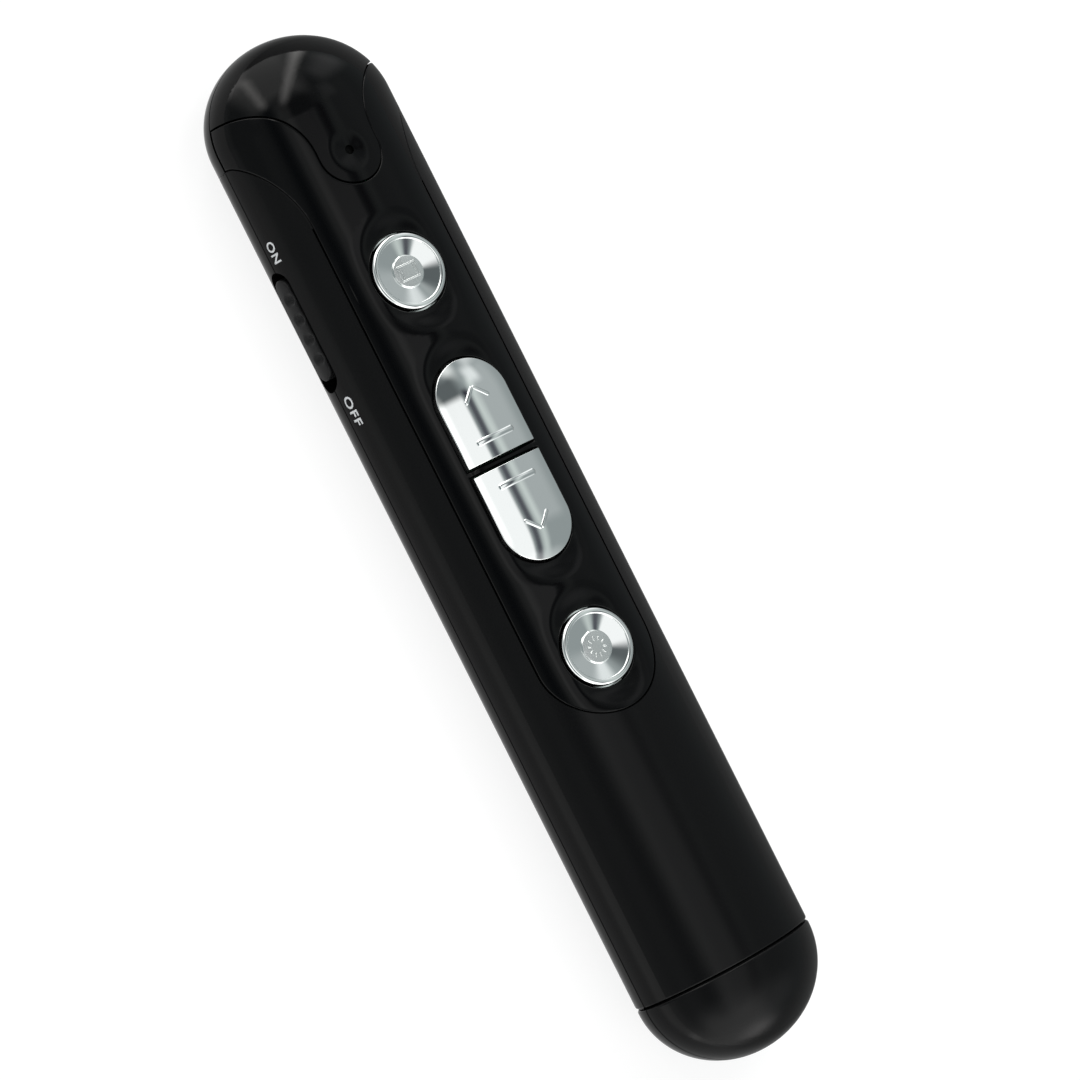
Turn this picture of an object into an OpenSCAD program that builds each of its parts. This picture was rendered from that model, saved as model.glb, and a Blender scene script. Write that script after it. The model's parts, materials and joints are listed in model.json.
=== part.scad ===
// Stick-type wireless presenter with a laser pointer.
// The front end, with the laser, points to -X and the pull-out receiver is at +X.
// +Z is up out of the buttons, the slide switch is on the -Y side, and z = 0 is the flat base.

/* [Body] */
// Overall length
body_len = 140; // [138:0.5:150]
// Overall width
body_w = 25.8; // [25.4:0.1:27]
// Height of the widest level above the flat base
mid_z = 7.8; // [7.6:0.1:8]
// Height of the crown above the widest level
crown_h = 8.85; // [8.7:0.05:9.2]
// Depth of the keel arc below the widest level, before the base is cut flat
keel_h = 8.2; // [8.1:0.05:8.4]
// Radius of the rounded flanks
side_r = 5.8; // [5.5:0.1:6]
// Length of each domed end
dome_len = 11.2; // [10.6:0.1:12]
// Wall thickness of the shells
wall = 1.5; // [1.3:0.05:1.6]
// Height of the parting line above the widest level
part_h = 0.8; // [0.6:0.1:1]
// Width of the grooves where pieces meet
seam = 0.18; // [0.1:0.02:0.3]
// Depth of the grooves along the parting line and the rear seam
seam_depth = 0.6; // [0.4:0.05:0.8]

/* [Front end] */
// Distance from the front tip to the nose seam on the flanks
nose_side_len = 7.5; // [7:0.1:8.4]
// Radius of the hollow curves beside the tongue
nose_curve_r = 8.6; // [8:0.1:9]
// Width of the tongue on top
tongue_w = 8.4; // [7.6:0.1:9]
// Distance from the front tip to the end of the tongue
tongue_len = 21.6; // [20:0.1:23]
// Distance from the front tip to the joint of the lower nose and the side shells
flare_len = 13; // [12.6:0.1:13.6]
// Length of the curve from that joint up to the panel's straight edge
flare_run = 11.3; // [10:0.1:12.5]
// Diameter of the indicator's hole
indicator_d = 1.2; // [1:0.1:1.6]
// Diameter of the laser's window
window_d = 3.2; // [2.8:0.1:3.4]

/* [Top panel] */
// Width of the glossy panel
panel_w = 17; // [16.6:0.1:17.4]
// Thickness of the panel
panel_t = 1.3; // [1.1:0.05:1.4]
// Width of the ledge under the panel's edge
ledge_w = 1.2; // [0.8:0.1:1.3]
// Thickness of that ledge
ledge_t = 1.1; // [0.8:0.1:1.2]

/* [Buttons] */
// Diameter of the round buttons
round_d = 9.8; // [9.4:0.1:10]
// Distance from the front tip to the screen button
screen_dist = 34; // [33.6:0.1:34.6]
// Distance from the front tip to the laser button
laser_dist = 85.7; // [85.2:0.1:86.4]
// Distance from the front tip to the middle of the page buttons
page_dist = 59.9; // [59.6:0.1:60.4]
// Width of the page buttons
page_w = 10.1; // [9.8:0.1:10.4]
// Length of one page button
page_len = 12.9; // [12.4:0.1:13.2]
// Width of the bar between the page buttons
page_bar = 0.8; // [0.6:0.1:1.2]
// Gap around each button
button_gap = 0.2; // [0.15:0.01:0.3]
// Height of the round buttons' outline above the widest level
round_h = 8.1; // [7.9:0.05:8.3]
// Height of the page buttons' ridge above the widest level
page_h = 9.2; // [9:0.05:9.4]
// Radius of the crowned top of the page buttons
page_crown_r = 14.6; // [13:0.1:20]
// Travel of each button
press = 0.3; // [0.2:0.02:0.34]
// Width of the retaining flange round each button
flange_w = 0.7; // [0.5:0.05:0.8]
// Radius of the hollow that surrounds the buttons
dish_r = 1.9; // [1.6:0.1:2.2]

/* [Slide switch] */
// Distance from the front tip to the middle of the switch's slot
slot_dist = 35; // [34.6:0.1:35.4]
// Length of the slot
slot_len = 16.4; // [16:0.1:17]
// Height of the slot
slot_h = 4; // [3.8:0.1:4.2]
// Length of the knob
knob_len = 13.8; // [13.4:0.1:14]
// Gap above and below the knob
knob_gap = 0.25; // [0.2:0.01:0.35]
// Gap between the knob and the front end of the slot, in the ON position
knob_front_gap = 1; // [0.8:0.05:1]
// Travel of the knob
knob_travel = 1.5; // [1.2:0.1:1.5]
// Number of finger grooves in the knob
groove_count = 4; // [3:1:5]

/* [Battery] */
// Diameter of the AAA cell
cell_d = 10.5; // [10.3:0.1:10.5]
// Length of the AAA cell with its button
cell_len = 44.5; // [44:0.1:44.5]
// Gap between the cell and the battery door
cell_lift = 0.1; // [0.05:0.01:0.15]
// Length of the pressed spring
spring_len = 2.4; // [2.2:0.1:2.6]
// Thickness of the contact plates
plate_t = 0.4; // [0.3:0.05:0.4]
// Gap around the battery door
door_gap = 0.1; // [0.08:0.01:0.2]

/* [Receiver] */
// Length of the receiver's body, the rear cap
cap_len = 11.7; // [11.6:0.1:12.2]
// Width of the USB plug
usb_w = 12; // [12:0.05:12.1]
// Height of the USB plug
usb_h = 4.5; // [4.4:0.05:4.5]
// Length of the USB plug inside the body
usb_len = 11; // [10.8:0.1:11.1]
// Thickness of the plug's steel
usb_t = 0.3; // [0.25:0.05:0.35]
// Gap around the plug in its socket
usb_gap = 0.2; // [0.15:0.01:0.25]

/* [Inside] */
// Width of the main board
board_w = 13.8; // [13:0.1:13.8]
// Thickness of the main board
board_t = 0.8; // [0.6:0.1:0.8]
// Height of the main board's underside above the base
board_z = 12.2; // [12.15:0.01:12.25]
// Distance from the front tip to the board's front edge
board_start = 14; // [13.6:0.1:15]
// Length of the main board
board_len = 78; // [76:0.5:79]
// Diameter of the laser barrel
barrel_d = 6.6; // [6.4:0.1:6.6]
// Length of the laser barrel
barrel_len = 11; // [10:0.1:11.4]
// Diameter of the long screws' thread
screw_d = 1.9; // [1.8:0.05:2]
// Diameter of the posts for the long screws
post_d = 5.2; // [5:0.1:5.4]

/* [Hidden] */

$fn = 96;
// Small overlap where shapes are joined or cut through
eps = 0.05;
// Reach of the cutting shapes past the body
far = 40;

// Colours
gloss_black = [0.05, 0.05, 0.05];
satin_black = [0.09, 0.09, 0.09];
knob_grey = [0.2, 0.2, 0.2];
bright_chrome = [0.85, 0.88, 0.88];
steel = [0.7, 0.7, 0.72];
gold = [0.83, 0.68, 0.3];
board_green = [0.05, 0.3, 0.15];

// Places along the body
front_x = -body_len/2;
rear_x = body_len/2;
dome_x = front_x + dome_len;
tail_dome_x = rear_x - dome_len;
flare_x = front_x + flare_len;
cap_x = rear_x - cap_len;
screen_x = front_x + screen_dist;
laser_x = front_x + laser_dist;
page_x = front_x + page_dist;
page_up_x = page_x - page_bar/2 - button_gap - page_len/2;
page_down_x = page_x + page_bar/2 + button_gap + page_len/2;
button_xs = [screen_x, page_up_x, page_down_x, laser_x];
tongue_end_x = front_x + tongue_len - tongue_w/2;
slot_x = front_x + slot_dist;

// Heights
part_z = mid_z + part_h;
crown_z = mid_z + crown_h;

// Arc radii of the crown and the keel, tangent to the flank arcs
flank_y = body_w/2 - side_r;
function tangent_r(h) = (flank_y*flank_y + h*h - side_r*side_r)/(2*(h - side_r));
crown_r = tangent_r(crown_h);
keel_r = tangent_r(keel_h);
crown_cz = crown_h - crown_r;
keel_cz = keel_r - keel_h;

// Height of the outer surface above the base at a distance y from the middle, on the crown arc
function top_z(y, inset = 0) = mid_z + crown_cz + sqrt(pow(crown_r - inset, 2) - y*y);
function flank_half_w(z, inset = 0) = flank_y + sqrt(pow(side_r - inset, 2) - pow(z - mid_z, 2));

// Cross-section of the body, inset from its outer surface, about the widest level
module oval(inset = 0) {
    crown_y = flank_y*(crown_r - inset)/(crown_r - side_r);
    crown_join = crown_cz - crown_cz*(crown_r - inset)/(crown_r - side_r);
    keel_y = flank_y*(keel_r - inset)/(keel_r - side_r);
    keel_join = keel_cz - keel_cz*(keel_r - inset)/(keel_r - side_r);
    for (s = [-1, 1]) translate([s*flank_y, 0]) circle(side_r - inset);
    intersection() {
        translate([0, crown_cz]) circle(crown_r - inset, $fn = 360);
        translate([-crown_y, crown_join]) square([2*crown_y, far]);
    }
    intersection() {
        translate([0, keel_cz]) circle(keel_r - inset, $fn = 360);
        translate([-keel_y, keel_join - far]) square([2*keel_y, far]);
        translate([-far, inset - mid_z]) square([2*far, far]);
    }
    polygon([[-crown_y, crown_join], [-flank_y, 0], [-keel_y, keel_join],
        [keel_y, keel_join], [flank_y, 0], [crown_y, crown_join]]);
}

// A section drawn about the widest level, carried along X from x0 to x1
module along(x0, x1) {
    translate([x0, 0, mid_z]) rotate([90, 0, 90]) linear_extrude(x1 - x0) children();
}

// A section turned about the vertical axis: the domed front end before it is shortened
module round_dome() {
    translate([dome_x, 0, mid_z]) rotate([0, 0, 90]) rotate_extrude(angle = 180) intersection() {
        children();
        translate([0, -far]) square([far, 2*far]);
    }
}
// Shortens a round dome to its length, and the place along X that a point has before that
dome_ratio = dome_len/(body_w/2);
module shorten() {
    translate([dome_x, 0, 0]) scale([dome_ratio, 1, 1]) translate([-dome_x, 0, 0]) children();
}
function before_shortening(x) = x < dome_x ? dome_x + (x - dome_x)/dome_ratio : x;

// Section of the shells' wall above the parting line
module upper_wall(t = wall) {
    difference() {
        oval();
        oval(t);
        translate([-far, part_h - far]) square([2*far, far]);
    }
}

// Section of the wall below the parting line, with the lip that the upper wall stands on
module lower_wall() {
    difference() {
        oval();
        oval(wall);
        translate([-far, part_h - seam]) square([2*far, far]);
    }
    difference() {
        oval(seam_depth);
        oval(wall);
        translate([-far, part_h]) square([2*far, far]);
        translate([-far, -far + part_h - 1]) square([2*far, far]);
    }
}

// Section of the solid body below the parting line, inset into its wall
module lower_core() {
    difference() {
        oval(wall/2);
        translate([-far, part_h]) square([2*far, far]);
    }
}

// Everything above a level, or between two places along X
module above(z) {
    translate([-body_len, -far, z]) cube([2*body_len, 2*far, far]);
}
module between_x(x0, x1) {
    translate([x0, -far, -far]) cube([x1 - x0, 2*far, 3*far]);
}
// A box given by its two corners
module block(a, b) {
    translate(a) cube(b - a);
}
// A cylinder along X
module rod_x(x0, x1, r, y = 0, z = 0) {
    translate([x0, y, z]) rotate([0, 90, 0]) cylinder(r = r, h = x1 - x0);
}

// Points of an arc from angle a0 to a1 with two half-axes
function arc(c, rx, ry, a0, a1, steps) =
    [for (i = [0:steps]) let (a = a0 + (a1 - a0)*i/steps) [c[0] + rx*cos(a), c[1] + ry*sin(a)]];

// Plan outline of the nose cap: a full front, two hollow curves and the tongue, grown by g
curve_steps = 14;
function nose_side(g) = concat(
    [[front_x - nose_curve_r, body_w], [front_x + nose_side_len + g, body_w]],
    arc([front_x + nose_side_len + nose_curve_r, tongue_w/2 + nose_curve_r],
        nose_curve_r - g, nose_curve_r - g, 180, 270, curve_steps),
    arc([tongue_end_x, 0], tongue_w/2 + g, tongue_w/2 + g, 90, 0, curve_steps));
function nose_outline(g) = let (side = nose_side(g))
    concat(side, [for (i = [len(side) - 2:-1:0]) [side[i][0], -side[i][1]]]);
// The space over that outline, as it is or as it is before the dome is shortened
module nose_space(g = 0) {
    translate([0, 0, mid_z]) linear_extrude(far) polygon(nose_outline(g));
}
module round_nose_space(g = 0) {
    translate([0, 0, mid_z]) linear_extrude(far)
        polygon([for (p = nose_outline(g)) [before_shortening(p[0]), p[1]]]);
}

// Plan outline of the panel's straight part, with its round rear end, shrunk by g
module panel_plan(g = 0) {
    r = panel_w/2 - g;
    translate([flare_x + flare_run, -r]) square([laser_x - flare_x - flare_run, 2*r]);
    translate([laser_x, 0]) circle(r);
}

// Space above the flare: the side view of the panel's front, shrunk by g
module flare_space(g = 0) {
    edge_h = top_z(panel_w/2) - part_z;
    edge_slope = panel_w/2/(top_z(panel_w/2) - mid_z - crown_cz);
    end_x = flare_x + flare_run;
    curve = arc([end_x, part_z], flare_run + g, edge_h + g*edge_slope, 180, 90, 18);
    translate([0, far, 0]) rotate([90, 0, 0]) linear_extrude(2*far)
        polygon(concat([[front_x - far, part_z]], curve, [[end_x, far], [front_x - far, far]]));
}

// The whole opening that the panel fills
module panel_space(g = 0) {
    flare_space(g);
    translate([0, 0, part_z]) linear_extrude(far) panel_plan(g);
}

// Plan outline of one page button, its round end towards -X, grown by g
module page_plan(g = 0) {
    r = page_w/2 + g;
    end_x = -page_len/2 + page_w/2;
    translate([end_x, -r]) square([page_len/2 - end_x + g, 2*r]);
    translate([end_x, 0]) circle(r);
}
// Plan outline round the pair of page buttons
module page_pair_plan(g = 0) {
    r = page_w/2 + g;
    reach = page_bar/2 + button_gap + page_len - page_w/2;
    translate([page_x - reach, -r]) square([2*reach, 2*r]);
    for (s = [-1, 1]) translate([page_x + s*reach, 0]) circle(r);
}

// Levels of the buttons
hollow_z = mid_z + round_h - 0.4;
flange_top = hollow_z - 0.95;
flange_t = 0.5;
plunger_top = board_z + board_t + 0.9;
round_z = mid_z + round_h;
page_z = mid_z + page_h;

// Ring-shaped hollow round a button, its lowest line at radius r
module dish_ring(r) {
    translate([0, 0, hollow_z + dish_r]) rotate_extrude() translate([r, 0]) circle(dish_r, $fn = 48);
}

// Cuts for one round button in the panel
module round_cut() {
    r = round_d/2 + button_gap;
    translate([0, 0, part_z]) cylinder(r = r, h = far);
    translate([0, 0, part_z]) cylinder(r = r + flange_w + 0.1, h = flange_top + eps - part_z);
    dish_ring(r);
}

// Cuts for the pair of page buttons, which leave the bar between them
module page_cut() {
    r = page_w/2 + button_gap;
    reach = page_bar/2 + button_gap + page_len - page_w/2;
    difference() {
        translate([0, 0, part_z]) linear_extrude(far) page_pair_plan(button_gap);
        translate([page_x - page_bar/2, -page_w, part_z]) cube([page_bar, 2*page_w, round_z - part_z]);
    }
    translate([0, 0, part_z]) linear_extrude(flange_top + eps - part_z)
        page_pair_plan(button_gap + flange_w + 0.1);
    for (s = [-1, 1]) {
        translate([page_x + s*reach, 0, 0]) dish_ring(r);
        rod_x(page_x - reach, page_x + reach, dish_r, s*r, hollow_z + dish_r);
    }
}

// Shells of the front end, with the laser's axis below the parting line
laser_drop = 2.4;
laser_z = part_z - laser_drop;
module laser_hole() {
    rod_x(front_x - 1, front_x + 5, window_d/2, 0, laser_z);
}

module nose_cap() {
    color(gloss_black) {
        shorten() intersection() {
            round_dome() upper_wall();
            round_nose_space();
        }
        difference() {
            intersection() {
                along(dome_x, tongue_end_x + tongue_w) upper_wall();
                nose_space();
            }
            translate([tongue_end_x, 0, part_z]) cylinder(d = indicator_d, h = far, $fn = 32);
        }
    }
}

// Ribs that hold the laser barrel, cut to its diameter
rib_t = 1;
rib_half_w = 6;
rib_xs = [front_x + 7.4, front_x + 11];
module lower_nose() {
    color(gloss_black) difference() {
        union() {
            shorten() round_dome() lower_wall();
            along(dome_x, flare_x) lower_wall();
            for (x = rib_xs) block([x, -rib_half_w, wall/2 + 0.7], [x + rib_t, rib_half_w, laser_z - 1]);
        }
        laser_hole();
        rod_x(front_x + 5, flare_x + 1, barrel_d/2, 0, laser_z);
    }
}

// Posts that the long screws pass through
post_xs = [front_x + 23.7, front_x + 42.6];
head_d = 3.6;
head_h = 1.5;
head_z = 1;
screw_gap = 0.1;
module screw_hole(x) {
    translate([x, 0, -1]) cylinder(d = screw_d + 2*screw_gap, h = far, $fn = 32);
    translate([x, 0, -1]) cylinder(d = head_d + 2*screw_gap, h = head_z + head_h + 1, $fn = 48);
}

// Bosses under the panel take the screws' threads
boss_d = 4;
boss_h = 2.4;
module panel_boss(x) {
    difference() {
        translate([x, 0, board_z + board_t]) cylinder(d = boss_d, h = boss_h, $fn = 48);
        translate([x, 0, board_z]) cylinder(d = screw_d + screw_gap, h = board_t + boss_h - 0.4, $fn = 32);
    }
}

// Collars under the panel round the buttons' holes, which hold the buttons' flanges down
module panel_collars() {
    g = button_gap + flange_w;
    intersection() {
        translate([0, 0, flange_top]) linear_extrude(far) {
            for (x = [screen_x, laser_x]) translate([x, 0]) circle(round_d/2 + g);
            page_pair_plan(g);
        }
        along(dome_x, laser_x + panel_w/2) oval(panel_t/2);
    }
}

module top_panel() {
    color(gloss_black) {
        shorten() difference() {
            round_dome() upper_wall(panel_t);
            round_nose_space(seam);
        }
        difference() {
            union() {
                intersection() {
                    along(dome_x, laser_x + panel_w/2 + 1) upper_wall(panel_t);
                    panel_space(seam);
                }
                panel_collars();
            }
            nose_space(seam);
            for (x = [screen_x, laser_x]) translate([x, 0, 0]) round_cut();
            page_cut();
        }
        for (x = post_xs) panel_boss(x);
    }
}

// The slot for the power knob, through the side wall
slot_z = part_z - 0.6;
module slot_shape(len, h) {
    for (s = [-1, 1]) translate([s*(len - h)/2, 0]) circle(h/2);
    translate([(h - len)/2, -h/2]) square([len - h, h]);
}
module slot_cut() {
    translate([slot_x, -flank_y, slot_z]) rotate([90, 0, 0]) linear_extrude(far)
        slot_shape(slot_len, slot_h);
}

// Where the USB plug goes in at the rear
bulkhead_t = 1.3;
socket_x = cap_x - usb_len - 0.3;
socket_wall = 0.8;
usb_z = part_z;
module socket_cut() {
    g = usb_gap;
    block([socket_x, -usb_w/2 - g, usb_z - usb_h/2 - g], [cap_x + 1, usb_w/2 + g, usb_z + usb_h/2 + g]);
}

// Rear screws and their bosses
rear_screw_x = cap_x - 5.5;
rear_screw_y = 8.7;
rear_boss_d = 4;
rear_screw_d = 1.4;
rear_head_z = 4.4;
rear_head_d = 2.6;
module at_rear_screws() {
    for (s = [-1, 1]) translate([rear_screw_x, s*rear_screw_y, 0]) children();
}

// The closed wall at the rear end, set back from the outer surface to leave the rear groove
module bulkhead() {
    along(cap_x - bulkhead_t, cap_x) oval(seam_depth);
}

// Ledge that carries the panel's edge, rooted under the shell's wall and cut clear of the board and
// of the power knob's flange over its whole travel
ledge_root = 0.6;
board_gap = 0.3;
flange_gap = 0.2;
module panel_ledge() {
    difference() {
        intersection() {
            along(flare_x + flare_run, laser_x + panel_w) difference() {
                oval(panel_t);
                oval(panel_t + ledge_t);
            }
            translate([0, 0, part_z]) linear_extrude(far) difference() {
                panel_plan(-ledge_root);
                panel_plan(ledge_w);
                translate([flare_x + flare_run - 1, -panel_w]) square([2, 2*panel_w]);
            }
        }
        block([board_x, -board_w/2 - board_gap, part_z],
            [board_x + board_len + board_gap, board_w/2 + board_gap, board_z + board_t + board_gap]);
        block([knob_x - knob_flange_len/2 - flange_gap, -body_w/2, part_z],
            [knob_x + knob_flange_len/2 + knob_travel + flange_gap, -flange_y + knob_flange_t + flange_gap,
            slot_z + knob_flange_h/2 + flange_gap]);
    }
}

module top_shell() {
    color(satin_black) difference() {
        union() {
            difference() {
                along(flare_x + seam, cap_x - seam) upper_wall();
                panel_space();
            }
            panel_ledge();
            intersection() {
                bulkhead();
                above(part_z);
            }
            intersection() {
                at_rear_screws() cylinder(d = rear_boss_d, h = far, $fn = 48);
                along(dome_x, cap_x) oval(wall/2);
                above(part_z);
            }
        }
        socket_cut();
        slot_cut();
        at_rear_screws() cylinder(d = rear_screw_d + screw_gap, h = part_z + 2.2, $fn = 32);
    }
}

// Battery bay
cell_x = socket_x - socket_wall - plate_t - spring_len - cell_len;
bay_wall = 0.8;
bay_half_w = cell_d/2 + 0.4;
bay_x0 = cell_x - plate_t;
bay_x1 = socket_x - socket_wall;
door_x0 = cell_x - 0.6;
door_x1 = bay_x1 - plate_t - 0.3;
door_half_w = bay_half_w - 0.05;
cell_z = wall + cell_lift + cell_d/2;
// Height left under the bay's front wall, through which the door's hooks swing
hook_room = 1.4;

module bay_walls() {
    for (s = [-1, 1]) translate([0, s*(bay_half_w + bay_wall/2), 0])
        block([bay_x0 - bay_wall, -bay_wall/2, wall/2], [bay_x1, bay_wall/2, part_z]);
    block([bay_x0 - bay_wall, -bay_half_w - eps, wall + hook_room], [bay_x0, bay_half_w + eps, part_z]);
    block([bay_x1, -bay_half_w - eps, wall/2], [socket_x, bay_half_w + eps, part_z]);
}

// Side walls and floor of the socket that stores the USB plug
module socket_walls() {
    g = usb_w/2 + usb_gap;
    floor_z = usb_z - usb_h/2 - usb_gap;
    for (s = [-1, 1]) translate([0, s*(g + socket_wall/2), 0])
        block([socket_x - socket_wall, -socket_wall/2, wall/2], [cap_x - 1, socket_wall/2, part_z]);
    block([socket_x - socket_wall, -g - eps, floor_z - socket_wall], [cap_x - 1, g + eps, floor_z]);
    block([socket_x - socket_wall, -g - eps, floor_z - socket_wall], [socket_x, g + eps, part_z]);
}

// Ring just outside the groove's depth, which cuts the groove at an end of a shell
module groove_ring() {
    difference() {
        oval(-1);
        oval(seam_depth);
    }
}
module bottom_shell() {
    color(satin_black) difference() {
        union() {
            along(flare_x, cap_x) lower_wall();
            intersection() {
                along(flare_x + 1, cap_x) lower_core();
                union() {
                    between_x(cap_x - bulkhead_t, cap_x);
                    at_rear_screws() cylinder(d = rear_boss_d, h = far, $fn = 48);
                    bay_walls();
                    socket_walls();
                }
            }
            for (x = post_xs) translate([x, 0, wall/2]) cylinder(d = post_d, h = board_z - wall/2, $fn = 64);
        }
        along(flare_x - 1, flare_x + seam) groove_ring();
        along(cap_x - seam, cap_x + 1) groove_ring();
        block([door_x0, -door_half_w, -1], [door_x1, door_half_w, wall + 0.9]);
        socket_cut();
        slot_cut();
        for (x = post_xs) screw_hole(x);
        at_rear_screws() {
            translate([0, 0, -1]) cylinder(d = rear_screw_d + 2*screw_gap, h = far, $fn = 32);
            translate([0, 0, -1]) cylinder(d = rear_head_d + 2*screw_gap, h = rear_head_z + 1, $fn = 32);
        }
    }
}

// Battery door, hooked in at the front
hook_w = 2;
hook_y = 1.4;
hook_len = 1.3;
hook_t = 0.7;
grip_r = 0.5;
module battery_door() {
    g = door_gap;
    color(satin_black) {
        difference() {
            intersection() {
                along(door_x0 + g, door_x1 - g) difference() {
                    oval();
                    oval(wall);
                }
                block([door_x0, -door_half_w + g, -1], [door_x1, door_half_w - g, part_z - 3]);
            }
            for (i = [0:4]) translate([door_x1 - 6 - 1.6*i, 0, -grip_r*0.5]) rotate([90, 0, 0])
                cylinder(r = grip_r, h = 7, center = true, $fn = 24);
        }
        for (s = [-1, 1]) translate([0, s*(hook_y + hook_w/2), 0]) {
            block([door_x0 + g, -hook_w/2, wall - 0.3], [door_x0 + 1, hook_w/2, wall + hook_t]);
            block([door_x0 - hook_len, -hook_w/2, wall + 0.2], [door_x0 + 1, hook_w/2, wall + hook_t]);
        }
    }
}

// Round button: rounded rim, shallow bowl and raised middle disc
rim_w = 0.55;
rim_h = 0.35;
bowl_depth = 0.45;
disc_r = 2.1;
stem_r = 1.6;
module round_button() {
    r = round_d/2;
    top = round_z + rim_h;
    rim = arc([r - rim_w, round_z], rim_w, rim_h, 0, 90, 6);
    rotate_extrude() polygon(concat(
        [[0, plunger_top], [stem_r, plunger_top], [stem_r, flange_top - flange_t],
            [r + flange_w, flange_top - flange_t], [r + flange_w, flange_top], [r, flange_top]],
        rim,
        [[disc_r + 0.15, top - bowl_depth], [disc_r, top - bowl_depth + 0.1], [disc_r, top - 0.1],
            [0, top - 0.1]]));
}
module screen_button() {
    color(bright_chrome) translate([screen_x, 0, 0]) round_button();
}
module laser_button() {
    color(bright_chrome) translate([laser_x, 0, 0]) round_button();
}

// Section across a page button, w wide, from z0 up to its crowned top
module page_section(w, z0) {
    intersection() {
        translate([-w/2, z0]) square([w, far]);
        translate([0, page_z - page_crown_r]) circle(page_crown_r, $fn = 240);
    }
}
// Page button with a crowned top and a round end towards -X, about its own middle
module page_button() {
    end_x = -page_len/2 + page_w/2;
    flange_z = flange_top - flange_t;
    translate([end_x, 0, 0]) rotate([90, 0, 90]) linear_extrude(page_len/2 - end_x)
        page_section(page_w, flange_z);
    translate([end_x, 0, 0]) rotate([0, 0, 90]) rotate_extrude(angle = 180) intersection() {
        page_section(page_w, flange_z);
        square([page_w, far]);
    }
    translate([0, 0, flange_z]) linear_extrude(flange_t) intersection() {
        page_plan(flange_w);
        translate([-page_len, -page_w]) square([page_len*1.5, 2*page_w]);
    }
    translate([0, 0, plunger_top]) cylinder(r = stem_r, h = flange_z + 0.1 - plunger_top, $fn = 48);
}
module page_up_button() {
    color(bright_chrome) translate([page_up_x, 0, 0]) page_button();
}
module page_down_button() {
    color(bright_chrome) translate([page_down_x, 0, 0]) rotate([0, 0, 180]) page_button();
}

// Tact switches and their plungers
tact_w = 5.2;
tact_h = 0.6;
plunger_r = 1;
module tact_switches() {
    z = board_z + board_t;
    color(steel) for (x = button_xs) translate([x, 0, 0]) difference() {
        block([-tact_w/2, -tact_w/2, z], [tact_w/2, tact_w/2, z + tact_h]);
        translate([0, 0, z + 0.1]) cylinder(r = plunger_r + 0.15, h = 2, $fn = 32);
    }
}
module plunger(x) {
    z = board_z + board_t + 0.1 + press + 0.05;
    color([0.1, 0.1, 0.1]) translate([x, 0, z]) cylinder(r = plunger_r, h = plunger_top - z, $fn = 32);
}
module screen_plunger() { plunger(screen_x); }
module page_up_plunger() { plunger(page_up_x); }
module page_down_plunger() { plunger(page_down_x); }
module laser_plunger() { plunger(laser_x); }

// Power knob: ribbed outside, with a flange behind the wall and a fork for the lever
knob_x = slot_x - slot_len/2 + knob_front_gap + knob_len/2;
flange_y = flank_half_w(slot_z + 2.8, wall) - 0.15;
knob_flange_t = 0.8;
cover = 1.8;
knob_flange_len = slot_len + 2*cover;
lever_w = 1.6;
lever_h = 1.4;
lever_z = slot_z + 0.9;
fork_gap = 0.05;
fork_w = 1.1;
switch_y = board_w/2;
switch_len = 10;
switch_depth = 3.6;
lever_reach = 2.4;
groove_r = 0.75;
groove_pitch = knob_len/5;
knob_flange_h = slot_h + 1.4;
module power_knob() {
    h = slot_h - 2*knob_gap;
    color(knob_grey) {
        difference() {
            intersection() {
                translate([knob_x, -flange_y, slot_z]) rotate([90, 0, 0]) linear_extrude(far)
                    slot_shape(knob_len, h);
                along(dome_x, slot_x + far) oval(0.05);
            }
            for (i = [0:groove_count - 1])
                translate([knob_x + (i - (groove_count - 1)/2)*groove_pitch, -body_w/2 - 0.1, slot_z - far/2])
                    cylinder(r = groove_r, h = far, $fn = 32);
        }
        translate([knob_x, 0, slot_z]) block([-knob_flange_len/2, -flange_y - eps, -knob_flange_h/2],
            [knob_flange_len/2, -flange_y + knob_flange_t, knob_flange_h/2]);
        for (s = [-1, 1]) translate([knob_x + s*(lever_w/2 + fork_gap + fork_w/2), 0, lever_z])
            block([-fork_w/2, -flange_y, -lever_h/2], [fork_w/2, -switch_y - 0.2, lever_h/2]);
    }
}
module slide_switch_lever() {
    color(gloss_black) block([knob_x - lever_w/2, -flange_y + knob_flange_t + 0.1, lever_z - lever_h/2],
        [knob_x + lever_w/2, -switch_y + lever_reach, lever_z + lever_h/2]);
}
module slide_switch_body() {
    g = 0.15;
    color(steel) difference() {
        block([knob_x - switch_len/2 + 0.5, -switch_y, lever_z - 1.6],
            [knob_x + switch_len/2 + 0.5, -switch_y + switch_depth, board_z]);
        block([knob_x - lever_w/2 - g, -switch_y - 1, lever_z - lever_h/2 - g],
            [knob_x + lever_w/2 + knob_travel + g, -switch_y + lever_reach + 0.2, lever_z + lever_h/2 + g]);
    }
}

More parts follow.
